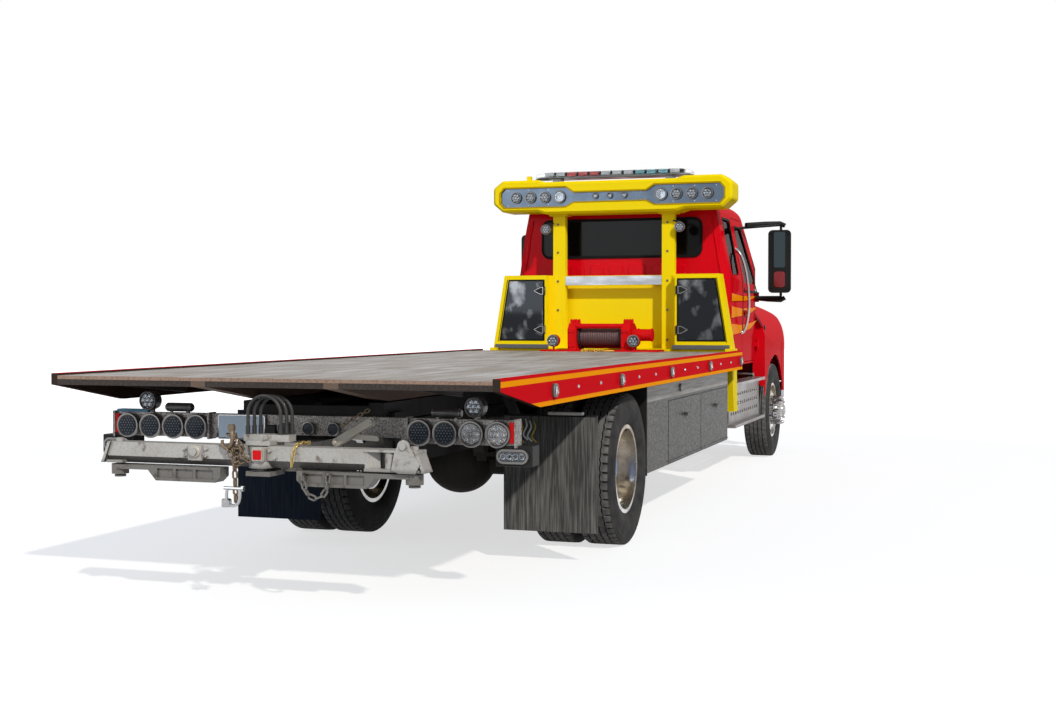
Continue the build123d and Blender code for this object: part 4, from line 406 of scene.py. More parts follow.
# raised diamonds of tread plate: two crossed families of bars, each an ellipse repeated along its slant
def makeTreadPlate():
    group, given, out = newGroup("treadPlate", {"Pitch": 0.03, "Height": 0.0016},
                                 {"Normal": "Vector", "Mask": "Float"})
    axis, normal = places(group)[1], facing(group)
    isEnd, isTop = (over(group, mathOf(group, "ABSOLUTE", normal[k]), 0.7) for k in "XZ")
    u, v = (plus(group, times(group, axis[k], minus(group, 1.0, swap)), times(group, axis["Y"], swap))
            for k, swap in (("X", isEnd), ("Z", isTop)))
    a, b = (mathOf(group, "DIVIDE", mathOf(group, way, u, v), given["Pitch"]) for way in ("ADD", "SUBTRACT"))
    bars = []
    for slants, shift in (((a, b), 0.0), ((b, a), 0.5)):
        squares = []
        for slant, half in zip(slants, (0.42, 0.12)):
            inCell = minus(group, mathOf(group, "FRACT", plus(group, slant, shift)), 0.5)
            ratio = mathOf(group, "DIVIDE", mathOf(group, "ABSOLUTE", inCell), half)
            squares.append(mathOf(group, "POWER", ratio, 2.0))
        bars.append(minus(group, 1.0, plus(group, *squares), clamp=True))
    height = mathOf(group, "POWER", mathOf(group, "MAXIMUM", *bars), 0.5)
    feed(group, out, {"Normal": bumpOf(group, height, 1.0, given["Height"]), "Mask": height})
    return group


roadFilm, chips, grain, treadPlate = makeRoadFilm(), makeChips(), makeGrain(), makeTreadPlate()


def useGroup(tree, group, inputs):  # the outputs of a group that is placed with these inputs
    node = tree.nodes.new("ShaderNodeGroup")
    node.node_tree = group
    return feed(tree, node, inputs).outputs


def skinOf(tree, size, scale=70.0, strength=0.5):  # the grain group's normal
    return useGroup(tree, grain, {"Size": size, "Scale": scale, "Strength": strength})["Normal"]


def newMaterial(name, **values):  # a Principled material; its inputs by name, with _ for a blank
    material = bpy.data.materials.new(name)
    material.use_nodes = True
    tree = material.node_tree
    named = {label.replace("_", " "): rgb(value) for label, value in values.items()}
    return material, tree, feed(tree, tree.nodes["Principled BSDF"], named)


def plainOf(name, color, rough, **values):  # an even finish
    return newMaterial(name, Base_Color=color, Roughness=rough, **values)[0]


def paintOf(name, color, rough, film=0.4, chip=0.2, coat=0.4, under=(0.1, 0.05, 0.03), fade=1.3,
            grainSize=0.0004, metal=0.0, stripe=None, filmColor=dust, shine=0.5):
    # painted surface: colour or stripes, chips down to what is under it, then road film
    material, tree, shader = newMaterial(name, Metallic=metal, Coat_Weight=coat, Coat_Roughness=0.08,
                                         Specular_IOR_Level=shine)
    base = stripe(tree, color) if stripe else rgb(color)
    chipped = useGroup(tree, chips, {"Color": base, "Under": rgb(under), "Amount": chip})
    dusty = useGroup(tree, roadFilm, {"Color": chipped["Color"], "Roughness": rough, "Amount": film,
                                      "Fade Height": fade, "Film": rgb(filmColor)})
    feed(tree, shader, {"Base Color": dusty["Color"], "Roughness": dusty["Roughness"],
                        "Normal": skinOf(tree, grainSize)})
    return material


def metalOf(name, color, rough, film=0.3, fade=1.3, brush=(1, 1, 1), smudge=0.15, pitch=0.0):
    # bare metal: smudges along the brushing, then road film that dulls it; a pitch makes it tread plate
    material, tree, shader = newMaterial(name)
    smudges = noiseMask(tree, places(tree)[0], 6.0, 0.35, 0.75, 5.0, brush)
    base = layered(tree, color, [(smudges, 0.35, tuple(c * 0.72 for c in color))])
    dulled = plus(tree, times(tree, smudges, smudge), rough)
    dusty = useGroup(tree, roadFilm, {"Color": base, "Roughness": dulled, "Amount": film,
                                      "Fade Height": fade, "Film": rgb(dust)})
    if pitch:
        raised = useGroup(tree, treadPlate, {"Pitch": pitch})["Normal"]
    else:
        raised = skinOf(tree, 0.0003, 40.0, 0.4)
    feed(tree, shader, {"Base Color": dusty["Color"], "Roughness": dusty["Roughness"], "Normal": raised,
                        "Metallic": minus(tree, 1.0, dusty["Mask"], clamp=True)})
    return material


def lensOf(name, color, glow=0.0):  # moulded lens with small square facets, darker in their corners
    material, tree, shader = newMaterial(name, Roughness=0.15, Coat_Weight=0.04, Specular_IOR_Level=0.08,
                                         Emission_Color=color, Emission_Strength=glow)
    facets = {"Vector": places(tree)[0], "Scale": 130.0, "Randomness": 0.0}
    cells = put(tree, "TexVoronoi", facets).outputs["Distance"]
    tint = mixColor(tree, times(tree, cells, 0.9, clamp=True), color, tuple(c * 0.45 for c in color))
    feed(tree, shader, {"Base Color": tint, "Normal": bumpOf(tree, cells, 0.7, 0.0015)})
    return material


railStripe = {  # heights of the two bands, colours, and where the painted faces begin
    "low": (1.05, 1.080), "high": (1.184, 1.2125), "color": (0.96, 0.33, 0.002),
    "darkBrown": (0.040, 0.026, 0.020), "face": 1.2905, "top": 1.2255, "tail": -5.196, "soft": 0.001,
}


# the rail's colour: bands on its outer face; dark brown on the inner face and the underside, and on the tail
# face as painted shade
def railStripes(tree, base):
    axis = places(tree)[1]
    soft = railStripe["soft"]
    bands = []
    for low, high in (railStripe["low"], railStripe["high"]):
        rising = ramp(tree, axis["Z"], low - soft, low + soft)
        bands.append(times(tree, rising, ramp(tree, axis["Z"], high + soft, high - soft)))
    painted = mixColor(tree, mathOf(tree, "MAXIMUM", *bands), base, railStripe["color"])
    outward = over(tree, mathOf(tree, "ABSOLUTE", axis["Y"]), railStripe["face"])
    shown = mathOf(tree, "MAXIMUM", outward, over(tree, axis["Z"], railStripe["top"]))
    # dark brown away from the painted faces; on the tail face it is painted shade
    kept = times(tree, shown, over(tree, axis["X"], railStripe["tail"]))
    return mixColor(tree, kept, railStripe["darkBrown"], painted)


# taupe bar of pitted stainless: a wash, dark pits and light sparks
def makeBarSteel():
    material, tree, shader = newMaterial("pittedBar", Metallic=0.35, Specular_IOR_Level=0.4)
    place = places(tree)[0]
    pits = noiseMask(tree, place, 120.0, 0.50, 0.60, 5.0)
    base = layered(tree, (0.30, 0.278, 0.264), [
        (noiseMask(tree, place, 7.0, 0.35, 0.70, 4.0), 1.0, (0.18, 0.163, 0.15)),
        (pits, 0.85, (0.085, 0.072, 0.066)),
        (noiseMask(tree, place, 140.0, 0.60, 0.66, 2.0), 0.8, (0.66, 0.65, 0.64)),
    ])
    feed(tree, shader, {"Base Color": base, "Roughness": plus(tree, 0.34, times(tree, pits, 0.35))})
    return material


# heights where painted shade darkens the lift's paint low down, and how far its faces look down before
# painted shade darkens them
liftPaintedShade = {"low": (0.785, 0.755), "down": (-0.05, -0.35)}


# worn silver-grey paint: speckled, stained, rusty in blots; painted shade makes it darker low down and on
# faces that look down
def makeLiftPaint():
    material, tree, shader = newMaterial("wornSilver", Metallic=0.15, Specular_IOR_Level=0.35)
    place, axis = places(tree)
    blots = noiseMask(tree, place, 17.0, 0.57, 0.70, 6.0)
    paint = layered(tree, (0.40, 0.385, 0.36), [
        (noiseMask(tree, place, 110.0, 0.46, 0.60, 3.0), 0.30, (0.22, 0.20, 0.18)),
        (noiseMask(tree, place, 5.0, 0.45, 0.70, 5.0, (1.0, 1.0, 2.0)), 0.30, (0.24, 0.205, 0.175)),
        (blots, 0.8, (0.11, 0.072, 0.052)),
        # painted shade: darker below the beams and on faces that look down
        (ramp(tree, axis["Z"], *liftPaintedShade["low"]), 0.74, (0.060, 0.053, 0.046)),
        (ramp(tree, facing(tree)["Z"], *liftPaintedShade["down"]), 0.88, (0.035, 0.030, 0.027)),
    ])
    feed(tree, shader, {"Base Color": paint, "Roughness": plus(tree, 0.42, times(tree, blots, 0.35)),
                        "Normal": bumpOf(tree, blots, 0.5, -0.0006)})
    return material


deckZones = {"top": 1.2135, "lip": 1.196, "tail": (-4.75, -5.18), "sill": 0.385, "sillHalf": 0.042}


# bed steel: on top scuffed bright over rust and browner towards the tail; a light lip; below it a near-black
# painted shadow, brown on the sills
def makeDeckSteel():
    material, tree, shader = newMaterial("deckSteel", Roughness=0.6, Specular_IOR_Level=0.3)
    place, axis = places(tree)
    top = over(tree, axis["Z"], deckZones["top"])
    scuff = noiseMask(tree, place, 5.0, 0.46, 0.66, 7.0, (0.25, 1.7, 1.0))
    blot = noiseMask(tree, place, 2.2, 0.40, 0.66, 6.0)
    speck = noiseMask(tree, place, 60.0, 0.45, 0.62, 4.0)
    worn = layered(tree, (0.27, 0.232, 0.198), [
        (blot, 1.0, (0.35, 0.322, 0.290)),
        (speck, 0.45, (0.10, 0.072, 0.055)),
        (scuff, 0.85, (0.45, 0.442, 0.430)),
        (times(tree, ramp(tree, axis["X"], *deckZones["tail"]), blot), 0.6, (0.20, 0.125, 0.085)),
    ])
    fromSill = mathOf(tree, "ABSOLUTE", minus(tree, mathOf(tree, "ABSOLUTE", axis["Y"]), deckZones["sill"]))
    onSill = mathOf(tree, "LESS_THAN", fromSill, deckZones["sillHalf"])
    # painted shadow: near black on every face below the lip, with brown on the sills
    shade = layered(tree, (0.016, 0.011, 0.009), [
        (speck, 0.5, (0.050, 0.034, 0.026)),
        (onSill, 0.8, (0.13, 0.085, 0.060)),
    ])
    bright = layered(tree, (0.28, 0.185, 0.135), [(speck, 0.5, (0.12, 0.070, 0.050))])
    under = mixColor(tree, over(tree, axis["Z"], deckZones["lip"]), shade, bright)
    feed(tree, shader, {"Base Color": mixColor(tree, top, under, worn),
                        "Metallic": times(tree, times(tree, scuff, top), 0.35),
                        "Normal": bumpOf(tree, speck, 0.3, 0.0008)})
    return material


# tyre rubber: dusty grey on the tread blocks, dark in the grooves and on the walls, by the radius
def makeTyreRubber():
    material, tree, shader = newMaterial("tyreRubber", Roughness=0.8, Specular_IOR_Level=0.15)
    place, axis = places(tree)
    isFront = over(tree, axis["X"], 1.0)
    axle = plus(tree, axles["rear"], times(tree, isFront, axles["front"] - axles["rear"]))
    run, rise = (mathOf(tree, "POWER", minus(tree, axis[k], middle), 2.0)
                 for k, middle in (("X", axle), ("Z", axles["height"])))
    tread = ramp(tree, mathOf(tree, "SQRT", plus(tree, run, rise)), 0.500, 0.507)
    smudges = noiseMask(tree, place, 9.0, 0.35, 0.75, 5.0)
    dusting = noiseMask(tree, place, 26.0, 0.30, 0.72, 7.0)
    wall = mixColor(tree, smudges, (0.020, 0.020, 0.021), (0.055, 0.052, 0.049))
    block = mixColor(tree, dusting, (0.075, 0.073, 0.072), (0.17, 0.165, 0.158))
    feed(tree, shader, {"Base Color": mixColor(tree, tread, wall, block), "Normal": skinOf(tree, 0.0008)})
    return material


finishes = {  # the finish of each material slot
    "frame_paint": paintOf("frameBlack", (0.013, 0.013, 0.015), 0.5, 0.45, 0.25, 0.02, shine=0.1),
    "cab_paint": paintOf("cabRed", (0.64, 0.002, 0.009), 0.34, 0.04, 0.0, 0.07, fade=1.9, shine=0.0),
    "yellow_paint": paintOf("headboardYellow", (0.88, 0.66, 0.002), 0.42, 0.06, 0.05, 0.06, fade=2.2,
                            shine=0.0),
    "rail_paint": paintOf("railRed", (0.66, 0.003, 0.009), 0.45, 0.05, 0.08, 0.02, stripe=railStripes,
                          shine=0.0),
    "deck_steel": makeDeckSteel(),
    "lift_paint": makeLiftPaint(),
    "polished": metalOf("polishedAluminium", (0.46, 0.455, 0.45), 0.16, 0.35, 1.2, (1, 1, 0.4)),
    "tread_plate": metalOf("treadPlateAluminium", (0.27, 0.25, 0.245), 0.24, 0.5, 1.4, pitch=0.030),
    "chrome": metalOf("chromePlate", (0.42, 0.42, 0.43), 0.09, 0.2, 1.0, smudge=0.05),
    "tyre": makeTyreRubber(),
    "glass": plainOf("tintedGlass", (0.03, 0.035, 0.035), 0.02, Transmission_Weight=1.0, IOR=1.045),
    "black_plastic": paintOf("blackPlastic", (0.010, 0.010, 0.011), 0.5, 0.15, 0.0, 0.0, fade=2.0,
                             grainSize=0.0005, shine=0.15),
    "interior": paintOf("cabTrim", (0.016, 0.016, 0.018), 0.85, 0.0, 0.0, 0.0, shine=0.0),
    "lamp_clear": plainOf("clearLens", (0.9, 0.92, 0.93), 0.05, Transmission_Weight=0.7, IOR=1.4),
    "lamp_red": lensOf("redLens", (0.40, 0.004, 0.005)),
    "flap_rubber": paintOf("flapRubber", (0.10, 0.10, 0.10), 0.8, 0.9, 0.0, 0.0, fade=1.6,
                           filmColor=(0.30, 0.29, 0.27)),
    "cast": paintOf("castIron", (0.030, 0.029, 0.029), 0.7, 0.5, 0.5, 0.0, grainSize=0.002, shine=0.1),
    "winch_red": paintOf("winchRed", (0.60, 0.004, 0.006), 0.38, 0.10, 0.12, 0.06, fade=2.0, shine=0.0),
    "stainless": makeBarSteel(),
    "hose_rubber": paintOf("hoseRubber", (0.018, 0.018, 0.019), 0.5, 0.25, 0.0, 0.1, fade=2.4, shine=0.3),
    "chain_steel": paintOf("chainSteel", (0.16, 0.115, 0.075), 0.5, 0.5, 0.8, 0.0, metal=0.6, fade=2.2,
                           under=(0.10, 0.045, 0.02)),
}


# greyed tread plate: dark speckle over dull metal and lighter crests, with a plain brushed strip above stripZ
def makeToolboxPlate(stripZ=0.9255):
    material, tree, shader = newMaterial("greyedTreadPlate", Metallic=0.25, Roughness=0.45,
                                         Specular_IOR_Level=0.15)
    place, axis = places(tree)
    isStrip = over(tree, axis["Z"], stripZ)
    raised = useGroup(tree, treadPlate, {"Pitch": 0.034, "Height": 0.0022})
    plate = layered(tree, (0.022, 0.021, 0.020), [
        (noiseMask(tree, place, 46.0, 0.43, 0.60, 6.0), 1.0, (0.125, 0.121, 0.116)),
        (raised["Mask"], 0.75, (0.20, 0.196, 0.19)),
        (noiseMask(tree, place, 3.0, 0.3, 0.7, 3.0), 0.40, (0.075, 0.072, 0.067)),
    ])
    brushing = noiseMask(tree, place, 8.0, 0.35, 0.7, 5.0, (0.3, 1.0, 6.0))
    brushed = mixColor(tree, brushing, (0.30, 0.285, 0.265), (0.15, 0.138, 0.125))
    flat = put(tree, "NewGeometry").outputs["Normal"]
    level = put(tree, "Mix", {0: isStrip, 4: raised["Normal"], 5: flat}, data_type="VECTOR").outputs[1]
    feed(tree, shader, {"Base Color": mixColor(tree, isStrip, plate, brushed), "Normal": level})
    return material


# mirror-polished panel whose near-black colour is a painted dark reflection, with faint smears
def makeMirrorPanel():
    material, tree, shader = newMaterial("paintedReflectionMirror", Metallic=1.0)
    smear = noiseMask(tree, places(tree)[0], 4.5, 0.53, 0.68, 5.0, (1.0, 1.3, 1.0))
    # painted reflection: a near-black metal colour, lighter in the smears
    feed(tree, shader, {"Base Color": mixColor(tree, smear, (0.022, 0.024, 0.027), (0.17, 0.175, 0.185)),
                        "Roughness": plus(tree, 0.04, times(tree, smear, 0.1))})
    return material


# rubber flap: dried splashes run down it in fine upright streaks; the left one is darker and bluer with
# painted shade, and shows few splashes
def makeFlapFinish():
    material, tree, shader = newMaterial("streakedRubber", Roughness=0.75, Specular_IOR_Level=0.06)
    place, axis = places(tree)
    streaks = noiseMask(tree, place, 60.0, 0.42, 0.78, 8.0, (1.0, 1.6, 0.07))
    blots = noiseMask(tree, place, 16.0, 0.45, 0.80, 6.0, (1.0, 1.0, 0.22))
    isLeft = over(tree, axis["Y"], 0.0)
    splashes = plus(tree, times(tree, streaks, 0.62), times(tree, blots, 0.30))
    mask = times(tree, splashes, minus(tree, 1.0, times(tree, isLeft, 0.92)), clamp=True)
    # painted shade: the left flap's rubber is darker and bluer than the right one's
    rubber = mixColor(tree, isLeft, (0.050, 0.049, 0.047), (0.006, 0.010, 0.020))
    feed(tree, shader, {"Base Color": mixColor(tree, mask, rubber, (0.27, 0.265, 0.25)),
                        "Normal": bumpOf(tree, streaks, 0.4, 0.0008)})
    return material


# polished wheel with a painted reflection: warm and darker towards the top, bright below; with wide smears
def makeWheelPolish():
    material, tree, shader = newMaterial("wheelPolish", Metallic=1.0)
    place, axis = places(tree)
    smear = noiseMask(tree, place, 7.0, 0.38, 0.66, 5.0, (1.0, 1.0, 0.5))
    # painted reflection: warm and darker towards the top, bright below
    polish = layered(tree, (0.74, 0.735, 0.73), [
        (ramp(tree, axis["Z"], 0.42, 0.72), 1.0, (0.46, 0.37, 0.25)), (smear, 0.6, (0.26, 0.235, 0.205))])
    feed(tree, shader, {"Base Color": polish, "Roughness": plus(tree, 0.12, times(tree, smear, 0.25))})
    return material


ownFinish = {"mud_flaps": makeFlapFinish()}  # nodes whose finish differs from the rest of their slot
for material, nodes in ((makeToolboxPlate(), ("toolbox", "toolbox_rear_door", "toolbox_front_door")),
                        (makeMirrorPanel(), ("headboard_door",)),
                        (makeWheelPolish(), ("rims_rear", "rim_front"))):
    ownFinish.update({f"{node}_{side}": material for node in nodes for side, sign in sides})
for entry in frame["record"]["subparts"]:
    surface = frame["nodes"][entry["node"]].data.materials
    surface.clear()
    surface.append(ownFinish.get(entry["node"], finishes[entry["material_slot"]]))
print("stage: finishes on the frame's nodes")


def seenDirectly(tree):  # 1 for rays from the camera, off polished metal or through glass
    rays = put(tree, "LightPath").outputs
    mirror = mathOf(tree, "MAXIMUM", rays["Is Glossy Ray"], rays["Is Transmission Ray"])
    return mathOf(tree, "MAXIMUM", rays["Is Camera Ray"], mirror)


# lit floor: grey plus a lift that brings it to white, while the shadow stays; far away it is plain white
paleFloor = {"color": (0.42, 0.42, 0.42), "half": 60, "lift": 0.66, "fade": (7.5, 13.0)}
floorMesh = bpy.data.meshes.new("floor")
corners = [(x * paleFloor["half"], y * paleFloor["half"], 0) for x, y in ((-1, -1), (1, -1), (1, 1), (-1, 1))]
floorMesh.from_pydata(corners, [], [(0, 1, 2, 3)])
floor = bpy.data.objects.new("floor", floorMesh)
scene.collection.objects.link(floor)
floorMaterial, tree, shader = newMaterial("paleFloor", Base_Color=paleFloor["color"], Roughness=0.95,
                                          Specular_IOR_Level=0.0, Emission_Color=(1.0, 1.0, 1.0))
floorMesh.materials.append(floorMaterial)
reach = put(tree, "VectorMath", {0: places(tree)[0]}, operation="LENGTH").outputs["Value"]
farOff = ramp(tree, reach, *paleFloor["fade"])
glow = plus(tree, paleFloor["lift"], times(tree, farOff, 1.0 - paleFloor["lift"]))
feed(tree, shader, {"Emission Strength": times(tree, glow, seenDirectly(tree))})

# sky: a soft gradient that lights the object, plain white where it is seen
skyLight = {"horizon": (0.80, 0.86, 0.92), "top": (0.45, 0.60, 0.86), "strength": 0.42}
world = bpy.data.worlds.new("openSky")
scene.world = world
world.use_nodes = True
sky = world.node_tree
seen = seenDirectly(sky)
height = put(sky, "SeparateXYZ", {"Vector": put(sky, "TexCoord").outputs["Generated"]}).outputs["Z"]
heaven = mixColor(sky, ramp(sky, height, 0.0, 0.8), skyLight["horizon"], skyLight["top"])
strength = plus(sky, skyLight["strength"], times(sky, seen, 1.0 - skyLight["strength"]))
feed(sky, sky.nodes["Background"],
     {"Color": mixColor(sky, seen, heaven, (1.0, 1.0, 1.0)), "Strength": strength})

lamps = {  # name: kind, place it shines from, strength, size as light.angle or light.size, colour
    "sunLamp": ("SUN", (-7.5, -6.5, 8.0), 2.9, {"angle": 0.03}, (1.0, 0.965, 0.90)),
    "fillLamp": ("AREA", (-12.0, 6.0, 5.0), 350.0, {"size": 7.0}, (0.93, 0.97, 1.0)),
}
for name, (kind, place, strength, extent, color) in lamps.items():
    light = bpy.data.lights.new(name, kind)
    light.energy, light.color = strength, color
    for key, value in extent.items():
        setattr(light, key, value)
    lamp = bpy.data.objects.new(name, light)
    scene.collection.objects.link(lamp)
    lamp.location = place
    aim = Vector((-0.5, 0.0, 1.0)) - Vector(place)
    lamp.rotation_euler = aim.to_track_quat("-Z", "Y").to_euler()
print("stage: camera, floor and light")
# wheels: tyres with blocks and waving grooves, nuts, covers and hubs
tyreShape = {
    "radius": 0.51, "pitches": 54, "grooves": (0.067, 0.0215), "grooveHalf": 0.0055, "grooveDepth": 0.014,
    "wall": [(0.091, 0.2865), (0.1005, 0.296), (0.111, 0.305), (0.118, 0.318), (0.126, 0.336),
             (0.133, 0.360), (0.1368, 0.385), (0.1378, 0.400), (0.1360, 0.418), (0.1343, 0.428),
             (0.1352, 0.432), (0.1352, 0.437), (0.1328, 0.441), (0.1300, 0.458), (0.1308, 0.462),
             (0.1302, 0.468), (0.1272, 0.472), (0.1258, 0.483), (0.1220, 0.494), (0.1165, 0.5025)],
    "shoulder": [(0.1165, 0.5025), (0.108, 0.5088), (0.085, 0.51)],
}


def tyreOf(middle, axleX, zigzag, notch):
    # a closed section swept round the axle; section: y, radius, shares of the notch and of the wave
    depth, top, pitches = tyreShape["grooveDepth"], tyreShape["radius"], tyreShape["pitches"]
    half = [(y, r, 0, 0) for y, r in tyreShape["wall"]] + [(y, r, 1, 0) for y, r in tyreShape["shoulder"]]
    for groove in tyreShape["grooves"]:
        half += [(groove + share * tyreShape["grooveHalf"], r, 0, 1)
                 for share, r in ((1.0, top), (0.6, top - depth), (-0.6, top - depth), (-1.0, top))]
    section = np.array(half + [(-y, r, n, w) for y, r, n, w in half[::-1]])[None]
    fractions = np.array([0.0, 0.4, 0.74, 0.78, 0.96])  # stops within one pitch; their wave and notch follow
    turn = ((np.arange(pitches)[:, None] + fractions) / pitches).ravel()[:, None] * 2 * math.pi
    wave = np.tile([0.0, 1.0, -0.2, -0.4, -0.2], pitches)[:, None]
    cut = np.tile([0.0, 0.0, 0.0, 1.0, 1.0], pitches)[:, None]
    y = middle + section[..., 0] + zigzag * wave * section[..., 3]
    r = section[..., 1] - notch * cut * section[..., 2]
    points = np.stack([axleX + r * np.sin(turn), y, axles["height"] + r * np.cos(turn)], -1)
    return points.reshape(-1, 3), gridFaces(len(turn), section.shape[1], True, True)


def aroundHub(axleX, y, radius, count, phase=0.0):  # places evenly round a wheel's axle
    angle = np.arange(count) * 2 * math.pi / count + phase
    return [(axleX + radius * math.cos(a), y, axles["height"] + radius * math.sin(a)) for a in angle]


wheelTrim = {
    "lugCircle": 0.143, "lugs": 10, "discFront": 1.132, "discRear": 0.952, "hubRear": 1.1, "hubCircle": 0.058,
    "nut": [(0.0205, 0.0), (0.0205, 0.006), (0.016, 0.008), (0.016, 0.026), (0.013, 0.03), (0.0002, 0.031)],
    "cover": [(0.0225, 0.0), (0.0225, 0.012), (0.0185, 0.016), (0.0175, 0.09), (0.0165, 0.118), (0.011, 0.13),
              (0.0002, 0.134)],
    "hub": [(0.118, 0.0), (0.118, 0.03), (0.112, 0.036), (0.106, 0.034), (0.1, 0.062), (0.085, 0.085),
            (0.062, 0.118), (0.058, 0.14), (0.03, 0.15), (0.0002, 0.151)],
    "hubBolt": [(0.009, 0.0), (0.009, 0.012), (0.0002, 0.013)],
    "seal": [(0.0845, 0.0), (0.0845, 0.008), (0.072, 0.01), (0.0002, 0.0102)],
}
for side, sign in sides:
    front, rear, out = f"front_wheel_{side}", f"rear_wheels_{side}", (0, sign, 0)
    addPiece(f"tyreFront_{side}", [tyreOf(sign * 1.028, axles["front"], 0.0, 0.003)], front, "tyre",
             replaces=[f"tyre_front_{side}"])
    twins = [tyreOf(sign * y, axles["rear"], 0.005, 0.012) for y in (1.083, 0.773)]
    addPiece(f"tyresRear_{side}", twins, rear, "tyre", replaces=[f"tyres_rear_{side}"])
    frontDisc, rearDisc, rearHub = (sign * wheelTrim[key] for key in ("discFront", "discRear", "hubRear"))
    covers = [turned(wheelTrim["cover"], p, out, 14) for p in
              aroundHub(axles["front"], frontDisc, wheelTrim["lugCircle"], wheelTrim["lugs"])]
    hub = turned(wheelTrim["hub"], (axles["front"], frontDisc, axles["height"]), out, 40)
    addPiece(f"lugCovers_{side}", covers + [hub], front, "polished", finishes["chrome"])
    nuts = [turned(wheelTrim["nut"], p, out, 6) for p in
            aroundHub(axles["rear"], rearDisc, wheelTrim["lugCircle"], wheelTrim["lugs"])]
    nuts += [turned(wheelTrim["hubBolt"], p, out, 6) for p in
             aroundHub(axles["rear"], rearHub, wheelTrim["hubCircle"], 8, 0.2)]
    addPiece(f"rearNuts_{side}", nuts, rear, "polished", finishes["chrome"])
    seal = turned(wheelTrim["seal"], (axles["rear"], rearHub, axles["height"]), out, 32)
    addPiece(f"hubSeal_{side}", [seal], rear, "polished",
             paintOf(f"hubBlue_{side}", (0.01, 0.13, 0.42), 0.35, 0.3))
print("stage: wheels")

# lamps
lampGlass = plainOf("lampGlass", (0.95, 0.97, 1.0), 0.03, Transmission_Weight=1.0, IOR=1.3)
diodeWhite = plainOf("diodeWhite", (0.75, 0.75, 0.70), 0.4)
cupChrome = metalOf("cupChrome", (0.24, 0.26, 0.285), 0.16, 0.1, 1.0, smudge=0.1)
lampRing = metalOf("satinRing", (0.19, 0.185, 0.18), 0.26, 0.3, 1.6, smudge=0.2)
lampWell = plainOf("lampWell", (0.02, 0.021, 0.024), 0.5)
smoked = {"lens": lensOf("smokedLens", (0.035, 0.046, 0.062)),
          "dots": plainOf("diodeGrey", (0.085, 0.10, 0.125), 0.3)}
workBezel = paintOf("workLampBody", (0.035, 0.035, 0.037), 0.5, 0.5)
lampParts = {  # part: material, slot
    "bezel": (lampRing, "chrome"), "well": (lampWell, "black_plastic"), "cups": (cupChrome, "chrome"),
    "dots": (diodeWhite, "lamp_clear"), "lens": (lampGlass, "lamp_clear"),
}


def facePoints(center, axis, spots):  # (side, up) spots on the plane square to the axis
    side, up = axesFor(axis)
    return [np.asarray(center, float) + a * side + b * up for a, b in spots]


def hexSpots(radius, pitch):  # spots of a hexagonal grid inside a circle; rows are sin 60 degrees apart
    n = int(radius / pitch) + 2
    i, j = np.meshgrid(np.arange(-n, n + 1), np.arange(-n, n + 1))
    a, b = (i + 0.5 * (j % 2)) * pitch, j * pitch * 0.866
    keep = a ** 2 + b ** 2 < radius ** 2
    return np.stack([a[keep], b[keep]], 1)


# rings of (share of the size, height), closed at the height end
def dish(rings, end, center, axis, size, steps):
    return turned([(size * share, height) for share, height in rings] + [(0.0002, end)], center, axis, steps)


def roundLamp(center, axis, radius, style, deep=0.02):
    # ring, well and lens, and between them: cluster = seven bright cups, dots = fine diodes, plain = one bowl
    c, axis = np.asarray(center, float), unit(axis)
    bezel = [(0.97, -deep), (1.0, -deep * 0.2), (0.99, 0.001), (0.95, 0.006), (0.86, 0.0065), (0.81, 0.003),
             (0.81, -0.006)]
    well = [(0.812, -0.0061), (0.812, 0.0015), (0.755, 0.0015), (0.74, -0.005)]
    lamp = {
        "bezel": [dish(bezel, -0.0062, c, axis, radius, 36)],
        "well": [dish(well, -0.0055, c, axis, radius, 36)],
        "cups": [], "dots": [],
    }
    if style == "dots":
        lamp["lens"] = [dish([(0.745, -0.003), (0.745, 0.002), (0.6, 0.004)], 0.005, c, axis, radius, 32)]
        lamp["dots"] = [dish([(0.062, -0.001), (0.055, 0.0018)], 0.0022, p, axis, radius, 6)
                        for p in facePoints(c + 0.0035 * axis, axis, hexSpots(radius * 0.66, radius * 0.235))]
        return lamp
    lamp["lens"] = [dish([(0.75, 0.0015), (0.75, 0.003), (0.5, 0.006)], 0.007, c, axis, radius, 32)]
    spots, cup = [(0, 0)], radius * 0.74
    if style == "cluster":
        turns = np.arange(6) * math.pi / 3
        spots += [(radius * 0.5 * math.cos(t), radius * 0.5 * math.sin(t)) for t in turns]
        cup = radius * 0.24
    cupRings = [(1.0, -0.003), (1.05, 0.0), (1.0, 0.001), (0.75, -0.001), (0.35, -0.0025)]
    for p in facePoints(c, axis, spots):
        lamp["cups"].append(dish(cupRings, -0.003, p, axis, cup, 16))
        lamp["dots"].append(dish([(0.22, -0.003), (0.2, 0.0005)], 0.001, p, axis, cup, 8))
    return lamp


# one piece for each part of the lamps; own names the parts that have a material of their own
def addLamps(name, lampList, body, **own):
    for part, (material, slotName) in lampParts.items():
        shapes = [shape for lamp in lampList for shape in lamp[part]]
        if shapes:
            addPiece(f"{name}_{part}", shapes, body, slotName, own.get(part, material))


